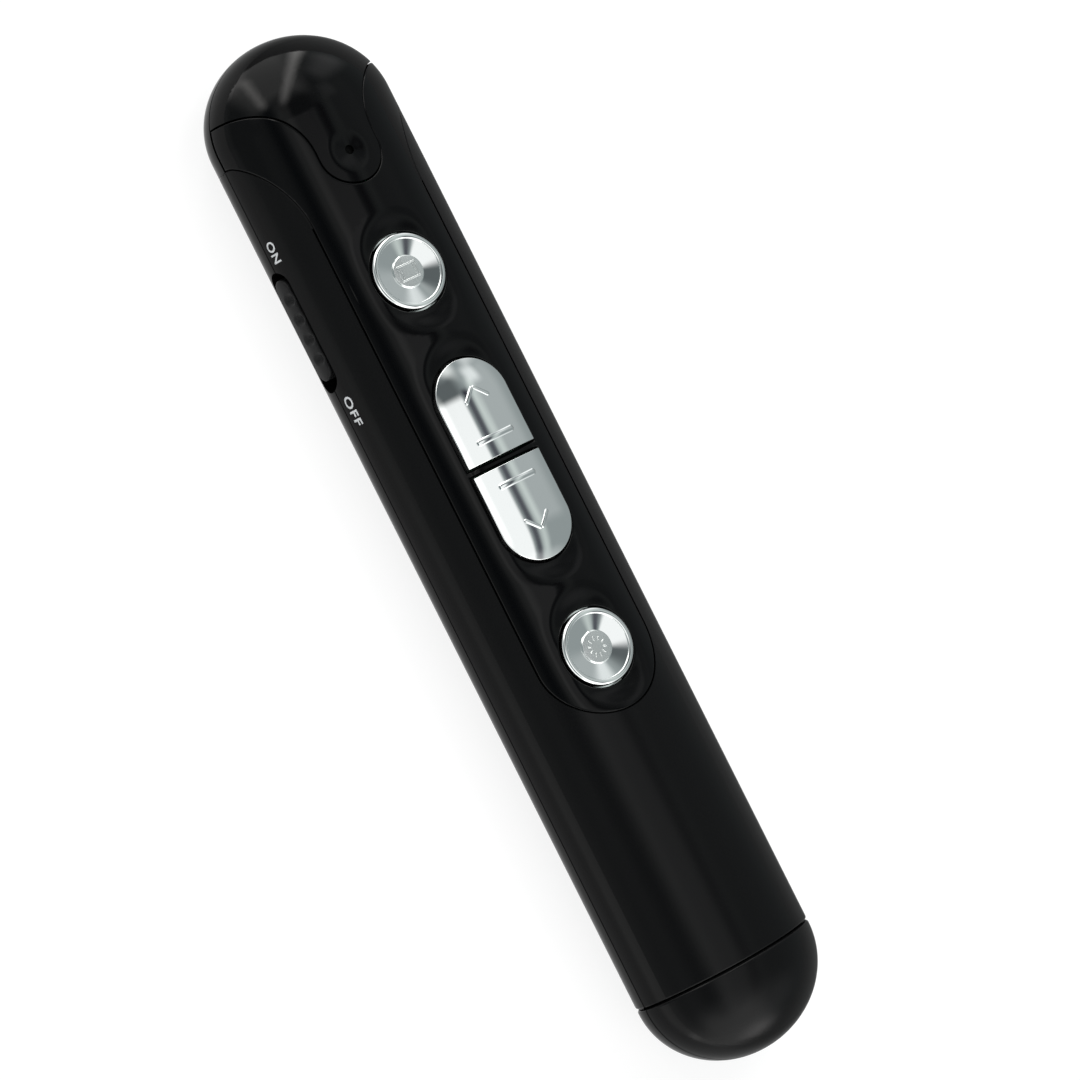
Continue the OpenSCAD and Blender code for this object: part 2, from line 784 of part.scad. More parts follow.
// Boards and what is on them
board_x = front_x + board_start;
module main_board() {
    color(board_green) difference() {
        block([board_x, -board_w/2, board_z], [board_x + board_len, board_w/2, board_z + board_t]);
        for (x = post_xs) translate([x, 0, 0]) cylinder(d = screw_d + 2*screw_gap, h = far, $fn = 32);
    }
}
module chip(x, y, z, w, d, h) {
    block([x - w/2, y - d/2, z], [x + w/2, y + d/2, z + h]);
}
module controller_chip() {
    color(satin_black) chip(post_xs[1] + 7, 1, board_z - 1, 7, 5, 1);
}
module radio_chip() {
    color(satin_black) chip(post_xs[0] + 9, 2, board_z - 0.9, 4, 4, 0.9);
}
module crystal() {
    color(steel) chip(post_xs[0] + 4, -3, board_z - 0.8, 3.2, 2.5, 0.8);
}
module indicator_lamp() {
    color([0.9, 0.9, 0.85]) chip(tongue_end_x, 0, board_z + board_t, 1.6, 1.2, 0.6);
}
module light_pipe() {
    under = top_z(0, wall) - 0.1;
    z = board_z + board_t + 0.7;
    color([0.8, 0.85, 0.9, 0.5]) translate([tongue_end_x, 0, 0]) {
        translate([0, 0, z]) cylinder(d = indicator_d - 0.04, h = under + 0.8 - z, $fn = 32);
        translate([0, 0, under - 0.4]) cylinder(d = indicator_d + 1.2, h = 0.4, $fn = 32);
    }
}

// Laser module along -X
barrel_x = front_x + 5.5;
barrel_wall = 0.45;
can_r = 1.75;
pin_r = 0.25;
module laser_barrel() {
    color(gold) difference() {
        rod_x(barrel_x, barrel_x + barrel_len, barrel_d/2, 0, laser_z);
        rod_x(barrel_x - 1, barrel_x + barrel_len - 2, barrel_d/2 - 2*barrel_wall, 0, laser_z);
        rod_x(barrel_x + barrel_len - 2.1, barrel_x + far, barrel_d/2 - barrel_wall, 0, laser_z);
    }
}
lens_t = 1.6;
lens_r = 4;
module laser_lens() {
    color([0.7, 0.8, 0.9, 0.5]) translate([barrel_x + 0.4, 0, laser_z]) rotate([0, 90, 0])
        rotate_extrude() intersection() {
            square([barrel_d/2 - 2*barrel_wall, lens_t]);
            translate([0, lens_r]) circle(lens_r);
        }
}
module laser_diode() {
    end_x = barrel_x + barrel_len;
    color(gold) {
        rod_x(end_x - 2, end_x - 0.8, barrel_d/2 - barrel_wall, 0, laser_z);
        rod_x(end_x - 4.5, end_x - 2, can_r, 0, laser_z);
        for (s = [-1, 1]) rod_x(end_x - 1, end_x + 2, pin_r, s*0.9, laser_z);
    }
}
module laser_leads() {
    color([0.7, 0.1, 0.1]) for (s = [-1, 1])
        translate([barrel_x + barrel_len + 2, s*0.9, laser_z + pin_r])
            cylinder(r = 0.3, h = board_z - laser_z - pin_r, $fn = 16);
}
module laser_window() {
    color([0.6, 0.75, 0.85, 0.5]) rod_x(front_x + 0.95, front_x + 2, window_d/2 - 0.02, 0, laser_z);
}

// Battery and its contacts
button_len = 1;
button_r = 1.9;
wire_y = 6.2;
wire_r = 0.4;
wire_z = board_z - wire_r;
plate_half_w = 4;
module battery_cell() {
    color([0.75, 0.6, 0.2]) {
        rod_x(cell_x + button_len, cell_x + cell_len, cell_d/2, 0, cell_z);
        rod_x(cell_x, cell_x + button_len + eps, button_r, 0, cell_z);
    }
}
module positive_contact() {
    color(steel) {
        block([cell_x - plate_t, -plate_half_w, wall + 1.6], [cell_x, plate_half_w, part_z]);
        block([cell_x - plate_t, -1.5, part_z - 1], [cell_x, 1.5, board_z]);
    }
}
module spring_plate() {
    color(steel) {
        block([bay_x1 - plate_t, -plate_half_w, wall + 1.2], [bay_x1, plate_half_w, part_z + 1]);
        block([bay_x1 - plate_t, plate_half_w - 2, part_z + 0.2],
            [bay_x1, wire_y + 2*wire_r, wire_z + wire_r]);
    }
}
module negative_wire() {
    color([0.1, 0.1, 0.1]) rod_x(board_x + board_len - 1, bay_x1 - plate_t, wire_r, wire_y, wire_z);
}

// Spring: one round wire wound about X, swept with six sides
coil_turns = 3;
coil_steps = 20;
coil_wire_r = 0.28;
coil_r0 = 3.4;
coil_r1 = 2.2;
module battery_spring() {
    n = coil_turns*coil_steps;
    run = spring_len - 2*coil_wire_r;
    x0 = cell_x + cell_len + coil_wire_r;
    rings = [for (i = [0:n]) let (a = 360*i/coil_steps, r = coil_r1 + (coil_r0 - coil_r1)*i/n)
        [for (k = [0:5]) let (b = 60*k, rr = r + coil_wire_r*cos(b))
            [x0 + run*i/n + coil_wire_r*sin(b), rr*cos(a), cell_z + rr*sin(a)]]];
    faces = concat([[5, 4, 3, 2, 1, 0]], [[for (k = [0:5]) n*6 + k]],
        [for (i = [0:n - 1]) for (k = [0:5]) let (j = (k + 1)%6) [i*6 + k, i*6 + j, (i + 1)*6 + j]],
        [for (i = [0:n - 1]) for (k = [0:5]) let (j = (k + 1)%6) [i*6 + k, (i + 1)*6 + j, (i + 1)*6 + k]]);
    color(steel) polyhedron([for (ring = rings) for (p = ring) p], faces);
}

// Screws
module long_screws() {
    color(steel) for (x = post_xs) translate([x, 0, 0]) {
        difference() {
            translate([0, 0, head_z]) cylinder(d = head_d, h = head_h, $fn = 48);
            for (a = [0, 90]) rotate([0, 0, a]) block([-1, -0.25, 0], [1, 0.25, head_z + 0.8]);
        }
        translate([0, 0, head_z + head_h - eps])
            cylinder(d = screw_d, h = board_z + board_t + 1.9 - head_z - head_h, $fn = 32);
    }
}
module rear_screws() {
    color(steel) at_rear_screws() {
        difference() {
            translate([0, 0, rear_head_z - 1]) cylinder(d = rear_head_d, h = 1, $fn = 32);
            for (a = [0, 90]) rotate([0, 0, a]) block([-0.8, -0.2, 0], [0.8, 0.2, rear_head_z - 0.5]);
        }
        translate([0, 0, rear_head_z - eps])
            cylinder(d = rear_screw_d, h = part_z + 2 - rear_head_z, $fn = 32);
    }
}

// Receiver: the rear cap in two halves, with its front wall
cap_wall = 1.2;
module tail() {
    mirror([1, 0, 0]) {
        shorten() round_dome() children();
        along(dome_x, -cap_x) children();
    }
}
module cap_slot() {
    block([cap_x - 1, -usb_w/2, usb_z - usb_h/2], [cap_x + cap_wall + 1, usb_w/2, usb_z + usb_h/2]);
}
module receiver_top_shell() {
    color(satin_black) difference() {
        union() {
            tail() upper_wall();
            along(cap_x, cap_x + cap_wall) difference() {
                oval(wall/2);
                translate([-far, part_h - far]) square([2*far, far]);
            }
        }
        cap_slot();
    }
}
module receiver_bottom_shell() {
    color(satin_black) difference() {
        union() {
            tail() lower_wall();
            along(cap_x, cap_x + cap_wall) lower_core();
        }
        cap_slot();
    }
}

usb_x0 = cap_x - usb_len;
usb_x1 = cap_x + cap_wall + 2;
module usb_plug_shell() {
    t = usb_t;
    color(steel) difference() {
        block([usb_x0, -usb_w/2, usb_z - usb_h/2], [usb_x1, usb_w/2, usb_z + usb_h/2]);
        block([usb_x0 - 1, -usb_w/2 + t, usb_z - usb_h/2 + t],
            [usb_x1 + 1, usb_w/2 - t, usb_z + usb_h/2 - t]);
        for (s = [-1, 1]) translate([usb_x0 + 5, s*2.6, 0]) block([-1.1, -1.25, 0], [1.1, 1.25, far]);
    }
}
tongue_t = 1.85;
module usb_tongue() {
    z1 = usb_z + usb_h/2 - usb_t;
    color([0.85, 0.85, 0.85])
        block([usb_x0 + 0.6, -usb_w/2 + usb_t, z1 - tongue_t], [usb_x1, usb_w/2 - usb_t, z1]);
}
module usb_contacts() {
    z1 = usb_z + usb_h/2 - usb_t - tongue_t;
    color(gold) for (y = [-3.5, -1, 1, 3.5]) translate([0, y, 0])
        block([usb_x0 + 1.2, -0.5, z1 - 0.15], [usb_x1, 0.5, z1]);
}
module receiver_board() {
    color(board_green) block([usb_x1, -5.6, usb_z - 0.2], [rear_x - 4, 5.6, usb_z + 0.6]);
}
module receiver_chip() {
    color(satin_black) chip(usb_x1 + 2.4, 0, usb_z + 0.6, 4, 4, 0.9);
}

nose_cap();
lower_nose();
top_panel();
top_shell();
bottom_shell();
battery_door();
screen_button();
page_up_button();
page_down_button();
laser_button();
power_knob();
receiver_top_shell();
receiver_bottom_shell();
usb_plug_shell();
usb_tongue();
usb_contacts();
receiver_board();
receiver_chip();
main_board();
tact_switches();
screen_plunger();
page_up_plunger();
page_down_plunger();
laser_plunger();
slide_switch_body();
slide_switch_lever();
indicator_lamp();
light_pipe();
controller_chip();
radio_chip();
crystal();
laser_barrel();
laser_diode();
laser_lens();
laser_window();
laser_leads();
battery_cell();
battery_spring();
spring_plate();
positive_contact();
negative_wire();
long_screws();
rear_screws();
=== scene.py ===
"""Looks of a stick-type wireless presenter with a laser pointer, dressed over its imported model."""

import json
import math

import bmesh
import bpy
from mathutils import Matrix, Vector
from mathutils.bvhtree import BVHTree

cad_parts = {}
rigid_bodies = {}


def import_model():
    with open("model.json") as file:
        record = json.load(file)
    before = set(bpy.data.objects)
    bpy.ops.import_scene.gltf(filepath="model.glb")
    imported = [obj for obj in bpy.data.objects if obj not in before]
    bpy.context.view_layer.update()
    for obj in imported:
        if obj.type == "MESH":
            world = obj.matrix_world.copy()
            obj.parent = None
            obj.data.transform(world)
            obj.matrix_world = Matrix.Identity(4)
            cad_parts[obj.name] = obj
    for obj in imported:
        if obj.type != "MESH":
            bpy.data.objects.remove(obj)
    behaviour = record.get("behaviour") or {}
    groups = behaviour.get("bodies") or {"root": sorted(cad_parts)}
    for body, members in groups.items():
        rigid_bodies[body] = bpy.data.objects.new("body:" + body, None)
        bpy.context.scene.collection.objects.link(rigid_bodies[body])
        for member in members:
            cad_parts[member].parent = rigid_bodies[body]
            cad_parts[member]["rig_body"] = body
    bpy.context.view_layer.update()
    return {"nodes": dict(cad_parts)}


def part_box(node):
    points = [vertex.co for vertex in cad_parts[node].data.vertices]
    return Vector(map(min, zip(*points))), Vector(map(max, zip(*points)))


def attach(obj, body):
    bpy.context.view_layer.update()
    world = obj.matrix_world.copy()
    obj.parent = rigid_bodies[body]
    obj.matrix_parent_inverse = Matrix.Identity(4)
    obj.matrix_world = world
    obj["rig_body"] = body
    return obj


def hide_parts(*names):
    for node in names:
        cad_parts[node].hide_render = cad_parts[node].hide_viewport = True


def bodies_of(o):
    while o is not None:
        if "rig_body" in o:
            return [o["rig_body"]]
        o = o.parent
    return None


bl_info = {
    "name": "Wireless presenter",
    "version": (1, 0, 0),
    "blender": (4, 5, 0),
    "location": "View3D > Sidebar > Presenter",
    "description": "Dresses the packed presenter: shells, chrome buttons, lettering and finishes",
    "category": "Object",
}

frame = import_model()
MM = 0.001

# The body's skin above the parting line: a crown arc, two flank arcs and two domed ends
FLANK_R = 5.8 * MM
PART_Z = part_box("top_shell")[0].z
MID_Z = PART_Z - 0.8 * MM
FLANK_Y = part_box("bottom_shell")[1].y - FLANK_R
CROWN_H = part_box("nose_cap")[1].z - MID_Z
CROWN_R = (FLANK_Y**2 + CROWN_H**2 - FLANK_R**2) / (2 * (CROWN_H - FLANK_R))
CROWN_Z = MID_Z + CROWN_H - CROWN_R
CROWN_TILT = math.atan2(FLANK_Y, MID_Z - CROWN_Z)
CROWN_RUN = CROWN_R * CROWN_TILT
FRONT_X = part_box("nose_cap")[0].x
DOME_LEN = 11.2 * MM
DOME_X = FRONT_X + DOME_LEN
DOME_RATIO = DOME_LEN / (FLANK_Y + FLANK_R)
CAP_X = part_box("receiver_top_shell")[0].x

# Places of the buttons and their holes
SEAM = 0.18 * MM
GAP = 0.2 * MM
SCREEN_X = (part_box("screen_button")[0].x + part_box("screen_button")[1].x) / 2
LASER_X = (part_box("laser_button")[0].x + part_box("laser_button")[1].x) / 2
PAGE_X = (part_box("page_up_button")[0].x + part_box("page_down_button")[1].x) / 2
FLANGE_W = 0.7 * MM
ROUND_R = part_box("screen_button")[1].y - FLANGE_W
PAGE_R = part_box("page_up_button")[1].y - FLANGE_W
PAGE_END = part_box("page_down_button")[1].x - FLANGE_W - PAGE_X - PAGE_R
BAR_HALF = 0.4 * MM
PAGE_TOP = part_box("page_up_button")[1].z
PAGE_CROWN_R = 14.6 * MM
ROUND_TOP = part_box("screen_button")[1].z

# The shells that meet at the rear groove, and the solids that keep their own mesh
GROOVED = ("top_shell", "bottom_shell", "receiver_top_shell", "receiver_bottom_shell")
PLAIN = {
    "gloss black": ("lower_nose",),
    "satin black": ("battery_door",),
    "steel": ("rear_screws", "long_screws", "spring_plate", "positive_contact", "battery_spring",
              "tact_switches", "slide_switch_body", "crystal", "usb_plug_shell"),
    "board green": ("main_board", "receiver_board"),
    "chip black": ("controller_chip", "radio_chip", "receiver_chip"),
    "plain black": ("screen_plunger", "page_up_plunger", "page_down_plunger", "laser_plunger",
                    "slide_switch_lever", "negative_wire"),
    "brass": ("laser_barrel",),
    "gold": ("laser_diode", "usb_contacts"),
    "cell": ("battery_cell",),
    "usb white": ("usb_tongue",),
    "red wire": ("laser_leads",),
    "smoked": ("light_pipe",),
    "clear": ("laser_lens", "laser_window"),
    "lamp": ("indicator_lamp",),
}

# The dome's own colour, and the lights and dark gaps that run along the body. After each tint: its roll
# towards the switch side, half width and soft edge in degrees, then middle, half length and soft end along it
STUDIO_BASE = (0.29, 0.325, 0.33, 1)
LONG_LIGHTS = (
    ((0.72, 0.70, 0.70), 0, 14, 2, 0.35, 0.47, 0.08),
    ((0.55, 0.55, 0.53), 13.5, 6, 3.5, 0.1, 0.6, 0.2),
    ((-0.27, -0.28, -0.27), 28, 5, 5, 0, 0.5, 0.1),
    ((-0.2, -0.23, -0.22), -20, 3, 2.5, 0.4, 0.6, 0.06),
    ((0.26, 0.28, 0.26), -29, 3.5, 4, 0.1, 0.4, 0.1),
    ((0.85, 0.84, 0.84), -64, 22, 10, -0.64, 0.12, 0.1),
    ((0.12, 0.12, 0.12), -45, 15, 8, -0.2, 0.25, 0.1),
    ((0.4, 0.4, 0.4), -37, 7, 5, -0.36, 0.12, 0.08),
    ((-0.18, -0.2, -0.2), -2, 16, 8, -0.3, 0.2, 0.1),
    ((0.18, 0.18, 0.18), 45, 5, 4, 0.5, 0.6, 0.2),
    ((1.45, 1.42, 1.39), 86, 20, 12, 0.6, 0.62, 0.12),
    ((0.25, 0.25, 0.25), 90, 15, 8, -0.4, 0.5, 0.2),
    ((0.55, 0.55, 0.55), -10, 60, 15, 0.85, 0.3, 0.15),
)
# Lights before the nose. After each tint: where its middle line starts and ends, each as the angle from
# straight ahead and the roll, then its half width and soft edge, all in degrees
NOSE_SOFT_END = 0.1
NOSE_LIGHTS = (
    ((4.4, 4.3, 4.2), (60, 8), (38, -106), 3, 4),
    ((3.6, 3.5, 3.4), (12, 50), (55, 28), 3, 4),
    ((2.4, 2.3, 2.3), (12, 60), (22, 120), 9, 10),
    ((1.3, 1.28, 1.25), (50, 10), (40, 190), 24, 8),
)


def length(name, words, default):
    """A property for a size, whose default is given in millimetres."""
    return bpy.props.FloatProperty(name=name, description=words, default=default * MM, unit="LENGTH")


def angle(name, words, default):
    """A property for an angle, whose default is given in degrees."""
    return bpy.props.FloatProperty(
        name=name, description=words, default=math.radians(default), subtype="ANGLE")


def colour(name, words, default):
    """A property for a colour."""
    return bpy.props.FloatVectorProperty(
        name=name, description=words, default=default, subtype="COLOR", size=3, min=0, max=1)


class PRESENTER_PG_shape(bpy.types.PropertyGroup):
    """Sizes of the details that are added to the solids."""

    edge_round: length("Edge round", "Radius of the rounding on the top panel's edges", 0.28)
    seam: length("Seam", "Gap between the top panel and the pieces round it", 0.11)
    groove: length("Rear groove", "Width of the slope on each side of the rear groove", 0.33)
    key_round: length("Button round", "Width of the rounding on the page buttons", 0.1)
    panel_t: length("Panel thickness", "Thickness of the top panel", 1.3)
    dish_run: length("Dish width", "Width of the hollow round the buttons", 3.3)
    dish_depth: length("Dish depth", "Level of the hollow below the round buttons' top", 0.5)
    dimple_r: length("Dimple radius", "Reach of the dimple round the indicator", 3.1)
    dimple_depth: length("Dimple depth", "Depth of the dimple round the indicator", 0.4)
    scoop: length("Scoops", "Depth of the four scoops in the power knob", 0.55)
    icon_h: length("Icon height", "How far the round buttons' marks stand up", 0.1)
    letter_h: length("Letter height", "Height of the lettering beside the switch", 1.2)


class PRESENTER_PG_finish(bpy.types.PropertyGroup):
    """Colours of the finishes."""

    gloss: colour("Gloss black", "Moulded glossy plastic of the panel and the nose", (0.0022, 0.0022, 0.0024))
    satin: colour("Satin black", "Moulded satin plastic of the shells", (0.0042, 0.0042, 0.0044))
    knob: colour("Knob", "Rubbery grey of the power knob", (0.012, 0.012, 0.0125))
    chrome: colour("Chrome", "Plating of the buttons", (0.88, 0.9, 0.89))
    print_ink: colour("Print", "White of the lettering", (0.72, 0.73, 0.75))
    board: colour("Board", "Solder mask of the circuit boards", (0.006, 0.07, 0.028))
    jacket: colour("Cell jacket", "Printed film round the battery cell", (0.45, 0.16, 0.03))


class PRESENTER_PG_stage(bpy.types.PropertyGroup):
    """Camera, floor and studio light."""

    roll: angle("Roll", "Turn of the camera from overhead towards the switch side", 28.6)
    lean: angle("Lean", "Angle in the picture between the body's axis and the downward direction", 26.68)
    distance: length("Distance", "From the camera to the body", 535)
    field: angle("Field", "Angle that the picture covers", 14.35)
    aim_right: length("Aim right", "The picture's centre, right of the body's middle", 3.44)
    aim_up: length("Aim up", "The picture's centre, above the body's middle", 0.79)
    lamp_size: length("Lamp size", "Width of the large lamp", 500)
    lamp_power: bpy.props.FloatProperty(
        name="Lamp power", description="Power of the large lamp", default=3.5, unit="POWER")


def deselect():
    """Leaves edit mode and selects nothing."""
    if bpy.context.mode != "OBJECT":
        bpy.ops.object.mode_set(mode="OBJECT")
    bpy.ops.object.select_all(action="DESELECT")


def pick(piece):
    """Makes one object the only selected one, and the active one."""
    deselect()
    piece.select_set(True)
    bpy.context.view_layer.objects.active = piece


def edit(piece):
    """Opens one piece's mesh in edit mode, with all of it selected."""
    pick(piece)
    bpy.ops.object.mode_set(mode="EDIT")
    bpy.ops.mesh.select_all(action="SELECT")


def apply(piece, kind, **settings):
    """Adds a modifier and applies it."""
    pick(piece)
    modifier = piece.modifiers.new(kind.lower(), kind)
    for key, value in settings.items():
        setattr(modifier, key, value)
    bpy.ops.object.modifier_apply(modifier=modifier.name)


def new_piece(name, mesh):
    """An object in the scene for a mesh or a curve."""
    piece = bpy.data.objects.new(name, mesh)
    bpy.context.scene.collection.objects.link(piece)
    return piece


def active_piece(name):
    """The object that an operator has just added, under its own name."""
    piece = bpy.context.object
    piece.name = name
    piece.data.name = name
    return piece


def settle(piece):
    """Puts a piece's place into its mesh, so that its object stands at the origin."""
    pick(piece)
    bpy.ops.object.transform_apply(location=True, rotation=True, scale=True)


def join(pieces, name):
    """One object of several, each of which stays a closed solid."""
    deselect()
    for piece in pieces:
        piece.select_set(True)
    bpy.context.view_layer.objects.active = pieces[0]
    bpy.ops.object.join()
    return active_piece(name)


def body_of(node):
    """Name of the body that a CAD node rides on."""
    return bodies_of(frame["nodes"][node])[0]


def dress(piece, body, slot_name, *coats):
    """Gives a piece its materials and its body; its slot name is not used."""
    piece.data.materials.clear()
    for coat in coats:
        piece.data.materials.append(bpy.data.materials[coat])
    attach(piece, body)


def cut(piece, axis, places):
    """Cuts a mesh by planes across one axis."""
    edit(piece)
    normal = Vector([float(i == axis) for i in range(3)])
    for place in places:
        bpy.ops.mesh.select_all(action="SELECT")
        bpy.ops.mesh.bisect(plane_co=normal * place, plane_no=normal, threshold=1e-7)
    bpy.ops.object.mode_set(mode="OBJECT")


def slice_up(piece, axis, low, high, step):
    """Cuts a mesh by evenly spaced planes across one axis, so that it can be bent."""
    cut(piece, axis, [low + step * i for i in range(1, math.ceil((high - low) / step))])


def merge(piece, distance):
    """Joins points that lie within a distance, and turns the faces outwards."""
    edit(piece)
    bpy.ops.mesh.remove_doubles(threshold=distance)
    bpy.ops.mesh.normals_make_consistent(inside=False)
    bpy.ops.object.mode_set(mode="OBJECT")


# The body's skin

def on_section(run, height):
    """Distance from the middle and level, at a length from the section's top and a height off the skin."""
    if run < CROWN_RUN:
        tilt, centre_y, centre_z, r = run / CROWN_R, 0, CROWN_Z, CROWN_R
    else:
        tilt, centre_y, centre_z, r = CROWN_TILT + (run - CROWN_RUN) / FLANK_R, FLANK_Y, MID_Z, FLANK_R
    return centre_y + (r + height) * math.sin(tilt), centre_z + (r + height) * math.cos(tilt)


def run_out_to(y):
    """Length along the section from its top to a distance from the middle."""
    if y < CROWN_R * math.sin(CROWN_TILT):
        return CROWN_R * math.asin(y / CROWN_R)
    return CROWN_RUN + FLANK_R * (math.asin((y - FLANK_Y) / FLANK_R) - CROWN_TILT)


def run_down_to(z):
    """Length along the section from its top down to a level."""
    if z > MID_Z + FLANK_R * math.cos(CROWN_TILT):
        return CROWN_R * math.acos((z - CROWN_Z) / CROWN_R)
    return CROWN_RUN + FLANK_R * (math.acos((z - MID_Z) / FLANK_R) - CROWN_TILT)


def bend(x, run, height):
    """The point on the body for a point of a flat plate: runs become arcs, and the front end a dome."""
    if x >= DOME_X:
        y, z = on_section(abs(run), height)
        return Vector((x, math.copysign(y, run), z))
    reach = math.hypot(DOME_X - x, run)
    radius, z = on_section(reach, height)
    return Vector((DOME_X - DOME_RATIO * radius * (DOME_X - x) / reach, radius * run / reach, z))


def flatten(x, y):
    """The flat plate's point that bend puts over a point of the plan."""
    back = max(0, (DOME_X - x) / DOME_RATIO)
    radius = math.hypot(back, y)
    stretch = run_out_to(radius) / radius if radius else 1
    return (DOME_X - stretch * back if back else x), stretch * y


def smooth_step(share):
    """A share from 0 to 1, eased at both ends."""
    share = min(1, max(0, share))
    return share * share * (3 - 2 * share)


def from_holes(x, y):
    """Distance of a plan point outside the nearest button's hole."""
    from_round = min(math.hypot(x - middle, y) for middle in (SCREEN_X, LASER_X)) - ROUND_R - GAP
    from_page = math.hypot(max(0, abs(x - PAGE_X) - PAGE_END), y) - PAGE_R - GAP
    return max(0, min(from_round, from_page))


def bend_plate(piece, shape):
    """Moves a flat plate's points by a mapping and turns its normals with them, its rounded edges too."""
    bm = bmesh.new()
    bm.from_mesh(piece.data)
    step = 0.01 * MM

    def kind(face):
        up = face.normal.z
        return "top" if up > 0.999 else "under" if up < -0.999 else "side" if abs(up) < 0.02 else "edge"

    def flat_normal(face, corner):
        near = {kind(other): other for other in corner.link_faces}
        if kind(face) == "side" or ("side" in near and "top" not in near and "under" not in near):
            faces = [other for other in corner.link_faces if kind(other) == "side"]
        elif "top" in near or "under" in near:
            return Vector((0, 0, 1 if "top" in near else -1))
        else:
            faces = corner.link_faces
        return sum((other.normal for other in faces), Vector()).normalized()

    def slopes(place):
        here = shape(*place)
        moved = [shape(*(place + step * Vector([axis == i for i in range(3)]))) for axis in range(3)]
        return [there - here for there in moved]

    spread = {vert: slopes(vert.co) for vert in bm.verts}
    normals = []
    for face in bm.faces:
        for corner in face.verts:
            along, across, off = spread[corner]
            n = flat_normal(face, corner)
            turned = n.x * across.cross(off) + n.y * off.cross(along) + n.z * along.cross(across)
            normals.append(turned.normalized())
    for vert in bm.verts:
        vert.co = shape(*vert.co)
    bm.to_mesh(piece.data)
    bm.free()
    pick(piece)
    bpy.ops.object.shade_smooth()
    piece.data.normals_split_custom_set(normals)


def flat_plate(name, outlines, thickness, edge):
    """A flat plate with rounded edges from closed outlines, the later ones holes in the first."""
    curve = bpy.data.curves.new(name, "CURVE")
    curve.dimensions = "2D"
    curve.fill_mode = "BOTH"
    curve.extrude = thickness / 2 - edge
    curve.bevel_depth = edge
    curve.bevel_resolution = 2
    curve.offset = -edge
    for outline in outlines:
        spline = curve.splines.new("POLY")
        spline.points.add(len(outline) - 1)
        for point, (x, y) in zip(spline.points, outline):
            point.co = (x, y, 0, 1)
        spline.use_cyclic_u = True
    piece = new_piece(name, curve)
    pick(piece)
    bpy.ops.object.convert(target="MESH")
    piece = active_piece(name)
    piece.location.z = -thickness / 2
    settle(piece)
    merge(piece, 0.001 * MM)
    return piece


def arc(x, y, r, start, end, steps):
    """Points along an arc, from one angle to another in degrees."""
    turns = [math.radians(start + (end - start) * i / steps) for i in range(steps + 1)]
    return [(x + r * math.cos(turn), y + r * math.sin(turn)) for turn in turns]


# Copies of the solids with rounded edges

def merged_copy(node, name):
    """A copy of a CAD node's mesh, its triangles joined and its true normals kept in an attribute."""
    piece = new_piece(name, frame["nodes"][node].data.copy())
    mesh = piece.data
    mesh.materials.clear()
    true = mesh.attributes.new("true_normal", "FLOAT_VECTOR", "CORNER")
    for corner, entry in zip(mesh.corner_normals, true.data):
        entry.vector = corner.vector
    if "custom_normal" in mesh.attributes:
        mesh.attributes.remove(mesh.attributes["custom_normal"])
    edit(piece)
    bpy.ops.mesh.remove_doubles(threshold=0.008 * MM)
    bpy.ops.object.mode_set(mode="OBJECT")
    return piece


def from_axis(place):
    """Direction from the body's inner axis to a point, which is outwards on the skin."""
    inner = Vector((min(max(place.x, DOME_X), -DOME_X), 0, MID_Z))
    return (place - inner).normalized()


def round_edges(piece, width, least=math.radians(20)):
    """Rounds the edges that can be seen and that turn the surface by at least an angle."""
    bm = bmesh.new()
    bm.from_mesh(piece.data)
    bm.normal_update()
    true = bm.loops.layers.float_vector["true_normal"]
    weight = bm.edges.layers.float.new("bevel_weight_edge")
    own = BVHTree.FromBMesh(bm)
    for edge in bm.edges:
        if len(edge.link_faces) != 2 or edge.calc_face_angle(0) < least / 2:
            continue
        turns = []
        for end in edge.verts:
            sides = [loop[true].normalized() for face in edge.link_faces for loop in face.loops
                     if loop.vert == end]
            turns.append(sides[0].dot(sides[1]))
        if min(turns) > math.cos(least):
            continue
        middle = (edge.verts[0].co + edge.verts[1].co) / 2
        outward = from_axis(middle)
        for face in edge.link_faces:
            start = middle + face.normal * 0.05 * MM
            if face.normal.dot(outward) > 0.5 and own.ray_cast(start, face.normal)[0] is None:
                edge[weight] = 1
    bm.to_mesh(piece.data)
    bm.free()
    apply(piece, "BEVEL", width=width, segments=3, limit_method="WEIGHT",
          use_clamp_overlap=False, loop_slide=False)


def keep_curvature(piece, node):
    """Smooth shading that follows the CAD node's true surfaces away from the rounded edges."""
    pick(piece)
    bpy.ops.object.shade_smooth_by_angle(angle=math.radians(50))
    apply(piece, "DATA_TRANSFER", object=frame["nodes"][node], use_loop_data=True,
          data_types_loops={"CUSTOM_NORMAL"}, loop_mapping="POLYINTERP_NEAREST",
          use_max_distance=True, max_distance=0.012 * MM)


def sink(piece, shape):
    """Lowers the outer skin by a function that gives the drop and its slope, and leans the normals."""
    mesh = piece.data
    normals = [entry.vector.normalized() for entry in mesh.attributes["true_normal"].data]
    outward = {}
    for loop in mesh.loops:
        vert = mesh.vertices[loop.vertex_index]
        if normals[loop.index].dot(from_axis(vert.co)) > 0.6:
            drop, slope = shape(vert.co)
            outward[vert.index] = vert.co - normals[loop.index] * drop
            normals[loop.index] = (normals[loop.index] + slope).normalized()
    for index, place in outward.items():
        mesh.vertices[index].co = place
    pick(piece)
    bpy.ops.object.shade_smooth()
    mesh.normals_split_custom_set(normals)


# Node trees

def put(tree, kind, inputs=None, **settings):
    """Adds a node. An input is a value or another node's output."""
    made = tree.nodes.new("ShaderNode" + kind)
    for key, value in settings.items():
        setattr(made, key, value)
    for key, value in (inputs or {}).items():
        if isinstance(value, bpy.types.NodeSocket):
            tree.links.new(value, made.inputs[key])
        else:
            made.inputs[key].default_value = value
    return made


